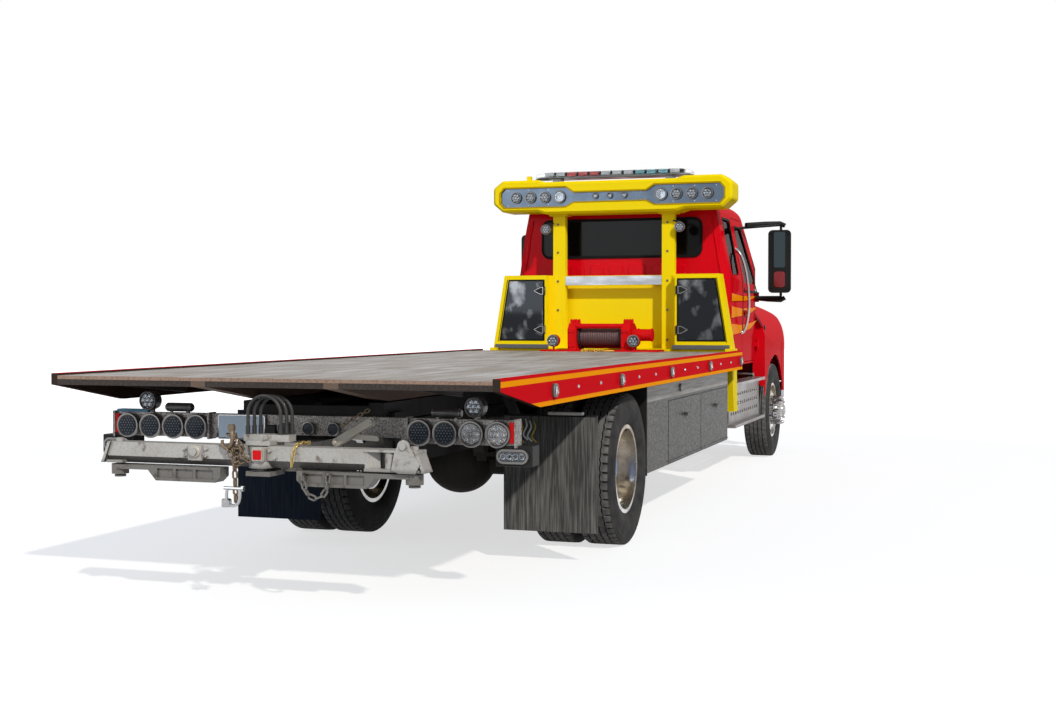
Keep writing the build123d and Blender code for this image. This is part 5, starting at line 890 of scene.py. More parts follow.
rearLamps = [  # name, body, radius, style, depth, x, z, y of each, own materials
    ("tailClear", "tilting_frame", 0.0715, "cluster", 0.02, -4.752, 0.918, (-1.118, -0.970), {}),
    ("tailSmoked", "tilting_frame", 0.0715, "dots", 0.02, -4.752, 0.918,
     (1.118, 0.970, 0.822, 0.675, -0.822, -0.675), smoked),
    ("idLamps", "tilting_frame", 0.0365, "dots", 0.02, -4.746, 0.925, (0.131, -0.021, -0.172), smoked),
    ("rearWork", "tilting_frame", 0.055, "cluster", 0.055, -4.748, 1.058, (0.988, -0.988),
     {"bezel": workBezel}),
    ("winchWork", "deck", 0.058, "cluster", 0.03, 1.078, 1.315, (0.432, -0.345), {}),
    ("postWork", "chassis", 0.05, "cluster", 0.04, 1.585, 2.39, (0.665, -0.665), {}),
    ("pylonClusters", "chassis", 0.056, "cluster", 0.019, 1.508, 2.698,
     (0.946, -0.946, 0.798, -0.798, 0.650, -0.650), {}),
    ("pylonPlain", "chassis", 0.062, "plain", 0.019, 1.508, 2.698, (0.502, -0.502), {}),
    ("pylonSmall", "chassis", 0.03, "plain", 0.015, 1.512, 2.698, (0.143, 0.0, -0.143), {}),
]
for name, body, radius, style, deep, x, z, spots, own in rearLamps:
    addLamps(name, [roundLamp((x, y, z), rearward, radius, style, deep) for y in spots], body, **own)
# painted light: the red reflectors glow faintly, though they are no lamps
addPiece("tailReflectors", [boxOf((-4.741, s * 1.198 - 0.018, 0.872), (-4.730, s * 1.198 + 0.018, 0.982))
                            for s in (1, -1)],
         "tilting_frame", "lamp_red", lensOf("reflectorRed", (0.62, 0.003, 0.005), 0.06), bevel=0.003)
postArm = [(1.625, 0.595, 2.45), (1.61, 0.63, 2.45), (1.61, 0.665, 2.445), (1.61, 0.665, 2.40)]
addPiece("postLampArms", bothSides([tube(postArm, 0.008, 8)]), "chassis", "black_plastic")

# rail lamps: every third is a large one
railLamp = {
    "first": -4.352, "pitch": 1.414 / 3, "count": 13, "z": 1.134, "face": 1.2953, "proud": 0.016,
    "stud": [(0.011, 0.0), (0.011, 0.003), (0.008, 0.008), (0.0002, 0.011)],
}
bigRail, smallRail = [], []
for step in range(railLamp["count"]):
    x = railLamp["first"] + step * railLamp["pitch"]
    for sign in (1, -1):
        y, out = sign * railLamp["face"], (0, sign, 0)
        if step % 3 == 0:
            place = (x, y + sign * railLamp["proud"], railLamp["z"])
            bigRail.append(roundLamp(place, out, 0.038, "plain", railLamp["proud"]))
        else:
            smallRail.append(turned(railLamp["stud"], (x, y, railLamp["z"]), out, 14))
addLamps("railLamps", bigRail, "deck")
addPiece("railStuds", smallRail, "deck", "lamp_red", finishes["chrome"], replaces=["deck_lamps"])
print("stage: lamps")

# pylon: an insert whose blue-grey is a painted sky reflection, in a reveal whose darker yellow is painted
# shade, with small bolts
insertHalf = [(0, 2.650), (0.36, 2.650), (0.44, 2.607), (1.064, 2.607), (1.103, 2.651), (1.103, 2.744),
              (1.064, 2.788), (0.44, 2.788), (0.36, 2.736), (0, 2.736)]
insertOutline = insertHalf + [(-y, z) for y, z in insertHalf[1:-1][::-1]]
insertBolts = [(y, z) for y in np.linspace(-1.03, 1.03, 11) for z in (2.625, 2.771) if abs(y) > 0.45]
# painted shade: the ring round the insert is a darker yellow
addPiece("pylonReveal", [rearRing(insetOutline(insertOutline, -0.014), 0.014, 1.5030, 0.004)], "chassis",
         "yellow_paint", paintOf("shadedYellow", (0.42, 0.27, 0.004), 0.5, 0.1, 0.0, 0.0, shine=0.0))
# painted reflection: the insert's blue-grey metal colour stands in for the sky it reflects
addPiece("pylonInsert", [rearPlate(insertOutline, 1.527, 0.0055)], "chassis", "polished",
         metalOf("paintedSkyReflection", (0.085, 0.112, 0.150), 0.22, 0.12, 1.0, smudge=0.15), replaces=["pylon_lamps"],
         bevel=0.001)
addPiece("pylonBolts", [turned([(0.005, 0.0), (0.005, 0.002), (0.0002, 0.003)], (1.527, y, z), rearward, 8)
                        for y, z in insertBolts], "chassis", "chrome")
addPiece("pylonTab", [boxOf((1.60, 0.825, 2.845), (1.66, 0.865, 2.915))], "chassis", "yellow_paint",
         bevel=0.004)

# light bar: base, clear dome, modules under it
bar = {
    "x": 1.67, "half": 0.79, "deep": 0.15, "base": 2.884, "floor": 2.900, "top": 2.95,
    "moduleX": 0.085, "module": (0.018, 0.043, 0.030), "feet": (0.52, 0.60),
}


def pillForm(half, deep, z0, z1, inset, steps=40, rows=7):
    # a rounded bar: its plan is a stadium, and it closes in towards the top by the root of 1 - height cubed
    t = np.linspace(0, 2 * math.pi, steps, endpoint=False)
    rise = np.linspace(0, 1, rows)[:, None]
    shrink = np.sqrt(np.clip(1 - rise ** 3, 0.02, 1))
    r = deep - inset
    planY = (half - deep) * np.sign(np.sin(t)) + r * np.sin(t)
    x, y = bar["x"] + r * np.cos(t) * shrink, planY - np.sign(planY) * (1 - shrink) * r
    points = np.stack(np.broadcast_arrays(x, y, z0 + rise * (z1 - z0)), -1)
    return points.reshape(-1, 3), cappedFaces(rows, steps)


def barBox(x, y, halfX, halfY, high):  # a box on the light bar's floor
    at, half = np.array([bar["x"] + x, y, bar["floor"]]), np.array([halfX, halfY, 0.0])
    return boxOf(at - half, at + half + (0, 0, high))


feet = [boxOf((1.61, s * bar["feet"][0], 2.846), (1.73, s * bar["feet"][1], bar["base"])) for s in (-1, 1)]
lowBar = pillForm(bar["half"], bar["deep"], bar["base"] - 0.002, bar["floor"], 0.0)
addPiece("barBase", [lowBar] + feet, "chassis", "black_plastic", lampRing, replaces=["light_bar"])
dome = pillForm(bar["half"], bar["deep"], bar["floor"], bar["top"], 0.004)
addPiece("barDome", [dome], "chassis", "lamp_clear",
         plainOf("domeClear", (0.88, 0.92, 0.94), 0.10, Transmission_Weight=1.0, IOR=1.22))
modules = {  # colour: material, places along the bar from the left
    "red": (lensOf("moduleRed", (0.50, 0.10, 0.10), 0.05), (2, 3, 4)),
    "blue": (lensOf("moduleBlue", (0.20, 0.42, 0.47), 0.05), (8, 9, 10)),
    "white": (lensOf("moduleWhite", (0.58, 0.60, 0.61)), (0, 1, 5, 6, 7, 11)),
}
moduleY = np.linspace(0.62, -0.62, 12)
for kind, (material, spots) in modules.items():
    addPiece(f"barModules_{kind}", [barBox(x, moduleY[i], *bar["module"]) for i in spots
                                    for x in (-bar["moduleX"], bar["moduleX"])],
             "chassis", "lamp_clear", material, bevel=0.004)
addPiece("barSpine", [barBox(0.0, 0.0, 0.02, 0.68, 0.034)], "chassis", "black_plastic", bevel=0.003)
print("stage: pylon and light bar")

# headboard: seals and hinges of the mirror doors, bolts, polished band between the posts
headTrim = {
    "doorFace": 1.516, "outline": [(0.660, 1.310), (1.118, 1.310), (1.022, 1.897), (0.660, 1.897)],
    "hinges": (1.415, 1.792), "leafRoot": 0.662, "leafTip": 0.770, "hingeAxis": (1.509, 0.652),
    "bolts": [(y, z) for z in (2.44, 2.165, 1.885, 1.605, 1.32) for y in (0.556, -0.536)],
    "border": [(1.130, 1.300), (1.134, 1.300), (1.036, 1.905), (1.032, 1.905)],
}
hexBolt = [(0.013, 0.0), (0.013, 0.0025), (0.0095, 0.003), (0.0095, 0.010), (0.0085, 0.0115),
           (0.0002, 0.0118)]
sealRubber = paintOf("sealRubber", (0.008, 0.008, 0.009), 0.6, 0.1, 0.0, 0.0, shine=0.05)
face, root, tip = headTrim["doorFace"], headTrim["leafRoot"], headTrim["leafTip"]
leaves, rims, knuckles = [], [], []
for z in headTrim["hinges"]:
    leaf = [(root, z - 0.042), (root + 0.038, z - 0.040), (tip - 0.010, z - 0.010), (tip, z),
            (tip - 0.010, z + 0.010), (root + 0.038, z + 0.040), (root, z + 0.042)]
    leaves.append(rearPlate(leaf, face - 0.008, 0.008))
    rims.append(rearRing(insetOutline(leaf, 0.006), 0.004, face - 0.010, 0.003))
    knuckles.append(turned([(0.0056, 0.0), (0.0064, 0.002), (0.0064, 0.082), (0.0056, 0.084)],
                           (*headTrim["hingeAxis"], z - 0.042), upward, 14))
for side, sign in sides:
    door = f"headboard_cabinet_door_{side}"
    for name, shapes, slotName, material, bevel in (
            ("cabinetSeal", [rearRing(headTrim["outline"], 0.011, face - 0.0025, 0.004)], "black_plastic",
             sealRubber, 0.001),
            ("cabinetHinges", leaves + knuckles, "black_plastic", None, 0.0015),
            ("cabinetHingeRims", rims, "chrome", None, 0.0008)):
        own = shapes if sign > 0 else [mirrored(shape) for shape in shapes]
        addPiece(f"{name}_{side}", own, door, slotName, material, bevel=bevel)
addPiece("postBolts", [turned(hexBolt, (1.640, y, z), rearward, 6) for y, z in headTrim["bolts"]], "chassis",
         "chain_steel")
# painted reflection: the band's dim bluish grey stands in for the sky it reflects
addPiece("postBand", [boxOf((1.640, -0.480, 1.847), (1.644, 0.480, 1.933))], "chassis", "polished",
         metalOf("bandMirror", (0.30, 0.31, 0.33), 0.12, 0.1, 1.0, (1.0, 0.6, 3.0), smudge=0.3), bevel=0.001)
addPiece("cabinetStrips", bothSides([boxOf((1.502, 0.612, 1.232), (1.517, 1.160, 1.272))]), "chassis",
         "black_plastic", paintOf("footRubber", (0.085, 0.088, 0.092), 0.7, 0.4, 0.0, 0.0), bevel=0.003)
addPiece("cabinetLines", bothSides([rearPlate(headTrim["border"], 1.5145, 0.003)]), "chassis",
         "black_plastic", sealRubber)
print("stage: headboard trim")

# winch: rope turns on the drum, studs on the towers, motor rings, hook and chain lying before it
winchTrim = {
    "x": 1.255, "z": 1.348, "core": 0.079, "turns": 23, "half": 0.195, "rope": 0.0085,
    "chainZ": 1.2265, "hookZ": 1.2245,
    "dome": [(0.0135, -0.004), (0.0135, 0.026), (0.0115, 0.034), (0.007, 0.039), (0.0002, 0.0405)],
}
rope, core, ropeProfile = winchTrim["rope"], winchTrim["core"], []
for n in range(winchTrim["turns"]):
    middle = -winchTrim["half"] + (n + 0.5) * 2 * winchTrim["half"] / winchTrim["turns"]
    for a in (-1.0, -0.55, 0.0, 0.55, 1.0):
        ropeProfile.append((core + rope * (0.25 + 0.9 * math.cos(a * 1.35)), middle + a * rope * 0.99))
ropeProfile = [(core, ropeProfile[0][1])] + ropeProfile + [(core, ropeProfile[-1][1])]
coil = turned(ropeProfile, (winchTrim["x"], 0.0, winchTrim["z"]), (0, 1, 0), 40)
addPiece("drumRope", [coil], "drum", "cast",
         paintOf("ropeSteel", (0.095, 0.045, 0.050), 0.55, 0.4, 0.5, 0.0, metal=0.35,
                 under=(0.03, 0.02, 0.02), grainSize=0.0012, fade=2.4))
towerStuds = [turned(winchTrim["dome"], (x, s * y, 1.478), upward, 14)
              for x in (1.20, 1.29) for s in (1, -1) for y in (0.235, 0.283)]
motorRing = [(0.056, 0.0), (0.0625, 0.002), (0.0625, 0.012), (0.056, 0.014)]
motorRings = [turned(motorRing, (winchTrim["x"], y, 1.368), (0, -1, 0), 28) for y in (-0.302, -0.345, -0.472)]
towerBolts = [turned(hexBolt, (1.1202, s * y, z), rearward, 6)
              for s in (1, -1) for y in (0.24, 0.278) for z in (1.262, 1.40)]
tieBar = tube([(1.155, -0.225, 1.452), (1.155, 0.225, 1.452)], 0.0235, 14)
addPiece("winchStuds", towerStuds + motorRings + towerBolts + [tieBar], "deck", "winch_red")
hookLine = [(1.045, -0.075), (1.02, -0.095), (1.01, -0.135), (1.035, -0.165), (1.07, -0.160), (1.082, -0.13)]
hookPath = smoothPath([(x, y, winchTrim["hookZ"]) for x, y in hookLine], 6)
chainLine = [(1.05, -0.072), (1.075, -0.02), (1.05, 0.03), (1.075, 0.085), (1.045, 0.135), (0.99, 0.12),
             (0.975, 0.05)]
deckChain = [(x, y, winchTrim["chainZ"]) for x, y in chainLine]
addPiece("winchHook", [tube(hookPath, np.linspace(0.0085, 0.0055, len(hookPath)), 10)] +
         chainRun(deckChain, 0.042, 0.028, 0.008, (0.3, 0.2, 0.95)), "deck", "yellow_paint",
         paintOf("hookYellow", (0.80, 0.47, 0.01), 0.45, 0.4, 0.5, 0.1, fade=2.4))
print("stage: winch")

# cab: window rubbers, ribs and folds of the back, handles, door trim, mirrors, roof markers
cabTrim = {
    "rear": 1.930, "window": (1.63, 0.39), "windowZ": 2.31, "handleX": 2.585,
    "ribs": ((0.512, 0.375), (0.305, 0.175), (0.118, -0.022), (-0.080, -0.250), (-0.315, -0.465),
             (-0.514, -0.650)),
    "folds": ((1.012, 1.20), (1.022, 1.80), (0.905, 2.50)),
    "handle": [(1.005, 2.225), (1.050, 2.185), (1.090, 2.110), (1.130, 1.95), (1.150, 1.75),
               (1.150, 1.60), (1.130, 1.47), (1.098, 1.385)],
    "foot": [(0.024, 0.0), (0.024, 0.012), (0.018, 0.018), (0.015, 0.030)],
    "doorWindow": [(2.720, 1.800), (3.455, 1.800), (3.085, 2.450), (2.720, 2.450)],
    "quarterWindow": [(2.100, 1.950), (2.520, 1.950), (2.520, 2.500), (2.135, 2.500)],
    "marker": [(0.030, 0.0), (0.034, 0.006), (0.030, 0.028), (0.018, 0.042), (0.0002, 0.046)],
}
rear = cabTrim["rear"]
windowRubber = roundedOutline(*cabTrim["window"], 0.085, 7, (0.0, cabTrim["windowZ"]))
addPiece("rearWindowRubber", [rearRing(windowRubber, 0.026, rear - 0.013, 0.018)], "chassis", "black_plastic",
         sealRubber, bevel=0.002)
# painted shade: a near-black sheet inside the rear window stands in for the shaded cab behind it
addPiece("rearWindowShadeSheet", [rearPlate(insetOutline(windowRubber, 0.024), rear - 0.009, 0.003)],
         "chassis", "glass", plainOf("paintedShadeSheet", (0.004, 0.0045, 0.005), 0.1, Specular_IOR_Level=0.1))
ribs = [roundedOutline(y0 - y1, 0.44, 0.035, 5, ((y0 + y1) / 2, 1.832)) for y0, y1 in cabTrim["ribs"]]
addPiece("cabRibs", [rearPlate(rib, rear - 0.010, 0.012) for rib in ribs], "chassis", "cab_paint",
         bevel=0.005)
folds = [tube([(rear - 0.001, s * y, z) for y, z in cabTrim["folds"]], 0.010, 8) for s in (1, -1)]
addPiece("cabFolds", folds, "chassis", "cab_paint")
handles = [tube(smoothPath([(cabTrim["handleX"], s * y, z) for y, z in cabTrim["handle"]], 6), 0.014, 12)
           for s in (1, -1)]
handles += [turned(cabTrim["foot"], (cabTrim["handleX"], s * y, z), (0, s, 0), 16)
            for s in (1, -1) for y, z in ((0.985, 2.225), (1.070, 1.385))]
addPiece("grabHandles", handles, "chassis", "chrome")


# (x, z) points laid on the cab's side, which leans in above the belt at z 1.80
def onCabSide(outline, sign, proud):
    outline = np.asarray(outline, float)
    y = np.interp(outline[:, 1], [1.06, 1.80, 2.56], [1.075, 1.085, 0.950])
    return np.stack([outline[:, 0], sign * (y + proud), outline[:, 1]], 1)


# a rubber frame that follows the leaning side
def sideRubber(outline, sign, width=0.022, proud=0.005):
    outer = insetOutline(outline, -0.012)
    inner = insetOutline(outer, width)
    loops = ((outer, -0.004), (outer, proud), (inner, proud), (inner, -0.004))
    points = np.concatenate([onCabSide(loop, sign, height) for loop, height in loops])
    return points, gridFaces(4, len(outer), True, True)


addPiece("quarterRubbers", [sideRubber(cabTrim["quarterWindow"], s) for s in (1, -1)], "chassis",
         "black_plastic", sealRubber)
mirrorTrim = {  # y of the head, then x, y, z along each arm
    "y": 1.358,
    "upper": [(3.10, 1.03, 2.492), (3.28, 1.20, 2.512), (3.325, 1.350, 2.515), (3.325, 1.40, 2.49)],
    "lower": [(3.44, 1.10, 1.735), (3.35, 1.22, 1.722), (3.325, 1.36, 1.715), (3.325, 1.40, 1.74)],
}
pullLine = [(2.705, 1.090, 1.58), (2.705, 1.113, 1.58), (2.85, 1.113, 1.58), (2.85, 1.090, 1.58)]
for side, sign in sides:
    door, mirrorY = f"cab_door_{side}", sign * mirrorTrim["y"]
    addPiece(f"doorRubber_{side}", [sideRubber(cabTrim["doorWindow"], sign)], door, "black_plastic",
             sealRubber)
    plateLine = roundedOutline(0.20, 0.052, 0.02, middle=(2.775, 1.58))
    pullPlate = sidePlate(plateLine, sign * 1.088, -sign * 0.006)
    pull, upper, lower = (np.array(line) * (1, sign, 1)
                          for line in (pullLine, mirrorTrim["upper"], mirrorTrim["lower"]))
    addPiece(f"doorPull_{side}", [tube(pull, 0.010, 8), pullPlate], door, "black_plastic")
    # painted reflections: the low mirror glass is tinted red and the main one dark blue-grey
    lowGlass = roundedOutline(0.118, 0.165, 0.03, 6, (mirrorY, 1.928))
    addPiece(f"mirrorLow_{side}", [rearPlate(lowGlass, 3.2185, 0.006)], door, "glass",
             plainOf(f"mirrorLow_{side}", (0.22, 0.035, 0.040), 0.12, Metallic=1.0), bevel=0.002)
    mainGlass = roundedOutline(0.120, 0.372, 0.02, middle=(mirrorY, 2.235))
    addPiece(f"mirrorGlass_{side}", [rearPlate(mainGlass, 3.2205, 0.004)], door, "glass",
             plainOf(f"mirrorGlass_{side}", (0.045, 0.062, 0.070), 0.06, Metallic=1.0), bevel=0.002)
    shell = rearRing(roundedOutline(0.236, 0.654, 0.045, 6, (mirrorY, 2.115)), 0.05, 3.226, 0.02)
    addPiece(f"mirrorShell_{side}", [shell], door, "black_plastic", bevel=0.006)
    addPiece(f"mirrorArms_{side}", [tube(upper, 0.024, 12), tube(lower, 0.024, 12)], door, "black_plastic")
addPiece("roofMarkers", [turned(cabTrim["marker"], (3.02, y, 2.612), (-0.12, 0, 1), 16)
                         for y in (-0.86, -0.43, 0.0, 0.43, 0.86)],
         "chassis", "lamp_red", lensOf("amberLens", (0.75, 0.20, 0.01), 0.1))
print("stage: cab")

# tail light bar: blank plate and rim, lying lamps, folded strut and its chain, box and blue plate
tailTrim = {
    "plate": (0.295, 0.133), "plateAt": (0.3925, 0.9235), "plateX": -4.7385,
    "strutEnds": ((-0.262, 0.868), (-0.470, 0.986)),
    "pin": [(0.0125, 0.0), (0.0125, 0.062), (0.010, 0.066), (0.0002, 0.0665)],
}
plateOutline = roundedOutline(*tailTrim["plate"], 0.014, middle=tailTrim["plateAt"])
addPiece("blankPlate", [rearPlate(plateOutline, tailTrim["plateX"] - 0.002, 0.002)], "tilting_frame",
         "polished", paintOf("plateBlue", (0.50, 0.62, 0.74), 0.4, 0.15, 0.0, 0.1, fade=2.0), bevel=0.0006)
addPiece("plateRim", [rearRing(plateOutline, 0.006, tailTrim["plateX"] - 0.0035, 0.0035)],
         "tilting_frame", "chrome", bevel=0.0008)
lyingLamps = [tube([(-4.694, s * y, 1.022) for y in (0.728, 0.742, 0.884, 0.898)],
                   [0.018, 0.0252, 0.0252, 0.018], 18) for s in (1, -1)]
lyingLamps += [boxOf((-4.70, s * 0.75, 0.992), (-4.688, s * 0.77, 1.0)) for s in (1, -1)]
addPiece("lyingLamps", lyingLamps, "tilting_frame", "black_plastic", workBezel)
strut = [flatLink(*tailTrim["strutEnds"], 0.022, x, 0.012) for x in (-4.905, -4.865)]
strut += [flatLink((-0.355, 0.900), (-0.492, 0.893), 0.015, -4.890, 0.014),
          boxOf((-4.895, -0.40, 0.910), (-4.863, -0.33, 0.935))]
strut += [turned(tailTrim["pin"], (-4.855, y, z), rearward, 14) for y, z in tailTrim["strutEnds"]]
beige = paintOf("wornBeige", (0.42, 0.385, 0.33), 0.5, 0.45, 0.6, 0.0, metal=0.2, fade=2.0)
addPiece("foldedStrut", strut, "tilting_frame", "lift_paint", beige, bevel=0.004)
strutChain = [(-4.93, -0.470, 1.045), (-4.93, -0.420, 1.020), (-4.94, -0.36, 0.985), (-4.95, -0.318, 0.955)]
addPiece("strutChain", chainRun(strutChain, 0.036, 0.024, 0.007), "tilting_frame", "chain_steel")
addPiece("plateBox", [boxOf((-4.752, 0.176, 0.882), (-4.722, 0.236, 0.938))], "tilting_frame",
         "black_plastic", bevel=0.006)
addPiece("barTopPlate", [boxOf((-4.728, 1.00, 0.9925), (-4.675, 1.205, 1.0075))], "tilting_frame", "polished",
         paintOf("paleBlue", (0.10, 0.24, 0.36), 0.4, 0.2, 0.1, 0.0, shine=0.1), bevel=0.001)

# oval lamps in black boxes under the bar's ends
ovalLamp = {
    "at": (1.197, 0.805), "size": (0.174, 0.076), "face": -4.7405, "cups": (-0.052, -0.017, 0.017, 0.052),
    "cup": [(0.0155, -0.003), (0.0165, 0.0), (0.0155, 0.001), (0.011, -0.001), (0.005, -0.0022),
            (0.0002, -0.003)],
}
(ovalY, ovalZ), ovalX = ovalLamp["at"], ovalLamp["face"]
slotLine = roundedOutline(*ovalLamp["size"], 0.0375, 9, ovalLamp["at"])
ovalBox = boxOf((-4.7265, 1.098, 0.752), (-4.612, 1.302, 0.860))
ovalWell = rearPlate(insetOutline(slotLine, 0.009), ovalX - 0.0012, 0.002)
ovalCups = [turned(ovalLamp["cup"], (ovalX - 0.0022, ovalY + dy, ovalZ), rearward, 16)
            for dy in ovalLamp["cups"]]
ovalLens = rearPlate(insetOutline(slotLine, 0.0115), ovalX - 0.0055, 0.0022)
for name, shapes, slotName, material, bevel in (
        ("ovalBoxes", [ovalBox], "black_plastic", None, 0.006),
        ("ovalRings", [rearRing(slotLine, 0.011, ovalX - 0.007, 0.012)], "chrome", lampRing, 0.002),
        ("ovalWells", [ovalWell], "black_plastic", lampWell, 0.0),
        ("ovalCups", ovalCups, "chrome", cupChrome, 0.0),
        ("ovalLenses", [ovalLens], "lamp_clear", lampGlass, 0.0008)):
    addPiece(name, bothSides(shapes), "tilting_frame", slotName, material, bevel=bevel)
print("stage: tail bar")

# crossbar: chains heaped by the middle, hook, shackle, gold chain, bolts, webs, square lamp
barTrim = {"face": -5.260, "chainX": -5.277, "lamp": (-0.017, 0.829)}
barFace, chainX = barTrim["face"], barTrim["chainX"]
heapSpots = [  # y, z, tilt of a run of three links in the heap
    (0.150, 0.925, 0.3), (0.118, 0.915, 1.9), (0.092, 0.895, 0.9), (0.140, 0.880, 2.6), (0.105, 0.862, 0.1),
    (0.075, 0.850, 1.3), (0.130, 0.838, 0.7), (0.095, 0.820, 2.2), (0.060, 0.812, 0.4), (0.118, 0.795, 1.6),
    (0.082, 0.785, 2.9), (0.150, 0.850, 1.1),
]
heap = []
for k, (y, z, tilt) in enumerate(heapSpots):
    reach = np.array([0.25 * math.sin(3.1 * k), math.cos(tilt), math.sin(tilt)]) * 0.036
    start = np.array([barFace - 0.014 - 0.010 * (k % 3), y, z])
    heap += chainRun([start - reach, start + reach], 0.044, 0.030, 0.0085, (1, 0.2 * (k % 2), 0.3))
addPiece("chainHeap", heap, "swivel_bar", "chain_steel")
grabHook = smoothPath([(-5.285, 0.135, 0.955), (-5.290, 0.128, 0.925), (-5.292, 0.132, 0.885),
                       (-5.290, 0.158, 0.858), (-5.288, 0.186, 0.872), (-5.286, 0.190, 0.900)], 7)
hookEye = [(0.017, 0.0), (0.019, 0.01), (0.019, 0.03), (0.013, 0.036)]
addPiece("grabHook", [tube(grabHook, np.linspace(0.013, 0.008, len(grabHook)), 10),
                      turned(hookEye, (-5.284, 0.136, 0.945), upward, 14)], "swivel_bar", "chain_steel")
shackle = [(0.098, 0.655), (0.096, 0.610), (0.108, 0.575), (0.135, 0.562), (0.162, 0.575), (0.172, 0.610),
           (0.168, 0.655)]
swivel = [(0.024, 0.0), (0.026, 0.004), (0.026, 0.036), (0.019, 0.044), (0.0002, 0.045)]
hardware = [tube(smoothPath([(chainX, y, z) for y, z in shackle], 5), 0.0085, 10),
            tube([(chainX, 0.082, 0.652), (chainX, 0.186, 0.652)], 0.0095, 10),
            turned([(0.015, 0.0), (0.015, 0.014), (0.0002, 0.0145)], (chainX, 0.070, 0.652), (0, 1, 0), 6),
            turned(swivel, (chainX, 0.172, 0.555), upward, 14)]
addPiece("chromeShackle", hardware, "swivel_bar", "chrome")
goldRun = smoothPath([(-5.150, -0.240, 0.886), (-5.205, -0.232, 0.890), (-5.262, -0.222, 0.882),
                      (-5.276, -0.214, 0.850), (chainX, -0.205, 0.800), (chainX, -0.200, 0.768)], 8)
addPiece("goldChain", chainRun(goldRun, 0.034, 0.022, 0.0065, (0, 1, 0)), "swivel_bar", "chain_steel",
         paintOf("goldChain", (0.50, 0.36, 0.12), 0.4, 0.3, 0.5, 0.0, metal=0.8, fade=2.2,
                 under=(0.12, 0.06, 0.02)))
barBolts = [turned(hexBolt, (barFace - 0.0005, y, z), rearward, 6) for y, z in
            ((0.300, 0.848), (0.300, 0.812), (0.424, 0.848), (0.424, 0.812), (-0.070, 0.848), (-0.100, 0.812),
             (0.055, 0.812))]
webs = [rearPlate([(y - 0.004, 0.800), (y + 0.004, 0.800), (y + 0.004, 0.868), (y - 0.004, 0.868)],
                  barFace - 0.006, 0.008) for y in (-0.062, 0.078)]
addPiece("crossbarBolts", barBolts + webs, "swivel_bar", "lift_paint")
knob = [(0.034, 0.0), (0.034, 0.004), (0.027, 0.010), (0.020, 0.011)]
surround = [rearRing(roundedOutline(0.070, 0.070, 0.010, middle=barTrim["lamp"]), 0.008, -5.292, 0.03),
            turned(knob, (-5.271, 0.362, 0.834), rearward, 20)]
surround += [turned([(0.0305, 0.0), (0.0305, 0.006), (0.028, 0.008)], (-5.233, -0.730, z), upward, 20)
             for z in (0.778, 0.848)]
addPiece("lampSurround", surround, "swivel_bar", "lift_paint", beige, bevel=0.001)
squareLine = roundedOutline(0.0505, 0.0505, 0.008, middle=barTrim["lamp"])
addPiece("squareLamp", [rearPlate(squareLine, -5.3008, 0.012)], "swivel_bar", "lamp_red",
         lensOf("squareRed", (0.66, 0.004, 0.006), 0.1), bevel=0.002)
print("stage: wheel lift")

# mud flap bracket: post, braces, a folded strap hung on it; dark ends of the toolboxes
flapTrim = {"x": -3.300, "strapY": -0.70, "strapZ": 0.845, "pitch": 0.028}
bracket = [boxOf((-3.285, -0.700, 0.905), (-3.240, -0.660, 1.060)),
           flatLink((-0.690, 0.930), (-0.640, 1.030), 0.020, -3.290, 0.010),
           flatLink((-0.735, 0.905), (-0.695, 1.000), 0.018, -3.292, 0.010),
           boxOf((-3.292, -1.240, 0.905), (-3.268, -0.640, 0.925))]
addPiece("flapBracket", bracket, "chassis", "frame_paint", bevel=0.003)
addPiece("flapPlate", [boxOf((-3.312, -1.15, 0.925), (-3.262, -0.93, 0.945))], "chassis", "lift_paint",
         bevel=0.002)
bends = [(-0.012, 0.0, 0.045), (-0.026, -0.014, 0.005), (-0.022, 0.010, -0.050), (-0.012, -0.018, -0.085)]
strap = []
for k in range(6):
    y, z = flapTrim["strapY"] - flapTrim["pitch"] * k, flapTrim["strapZ"] + 0.01 * math.sin(2.4 * k)
    strap.append(tube(smoothPath(np.array([flapTrim["x"], y, z]) + bends, 6), 0.0055, 6))
for name, shapes, color in (("white", strap[0:2] + strap[3:5], (0.60, 0.60, 0.61)),
                            ("yellow", strap[2::3], (0.40, 0.31, 0.06))):
    addPiece(f"strap_{name}", shapes, "chassis", "flap_rubber",
             paintOf(f"strap_{name}", color, 0.8, 0.5, 0.0, 0.0, shine=0.1))
addPiece("toolboxEnds", bothSides([boxOf((-1.868, 0.645, 0.405), (-1.851, 1.203, 1.038))]), "chassis",
         "black_plastic", bevel=0.002)
print("stage: flap bracket")

# cab sides: orange bands that narrow towards the front, marker on the fender
bandPaint = paintOf("bandOrange", (0.93, 0.27, 0.002), 0.4, 0.03, 0.0, 0.1, shine=0.0)
sideBands = [
    [(2.03, 1.36), (2.60, 1.385), (2.60, 1.455), (2.03, 1.47)],
    [(2.03, 1.53), (2.60, 1.55), (2.60, 1.62), (2.03, 1.64)],
    [(2.03, 1.69), (2.60, 1.70), (2.60, 1.745), (2.03, 1.765)],
]
doorBands = [
    [(2.66, 1.388), (3.10, 1.42), (3.46, 1.50), (3.10, 1.475), (2.66, 1.458)],
    [(2.66, 1.553), (3.10, 1.58), (3.48, 1.64), (3.10, 1.63), (2.66, 1.622)],
    [(2.66, 1.702), (3.05, 1.715), (3.40, 1.755), (3.05, 1.752), (2.66, 1.747)],
]


def bandOn(outline, sign):  # a thin plate on the cab's side
    n = len(outline)
    faces = [list(range(n)), list(range(2 * n - 1, n - 1, -1))]
    faces += [[i, n + i, n + (i + 1) % n, (i + 1) % n] for i in range(n)]
    return np.concatenate([onCabSide(outline, sign, proud) for proud in (0.0022, -0.001)]), faces


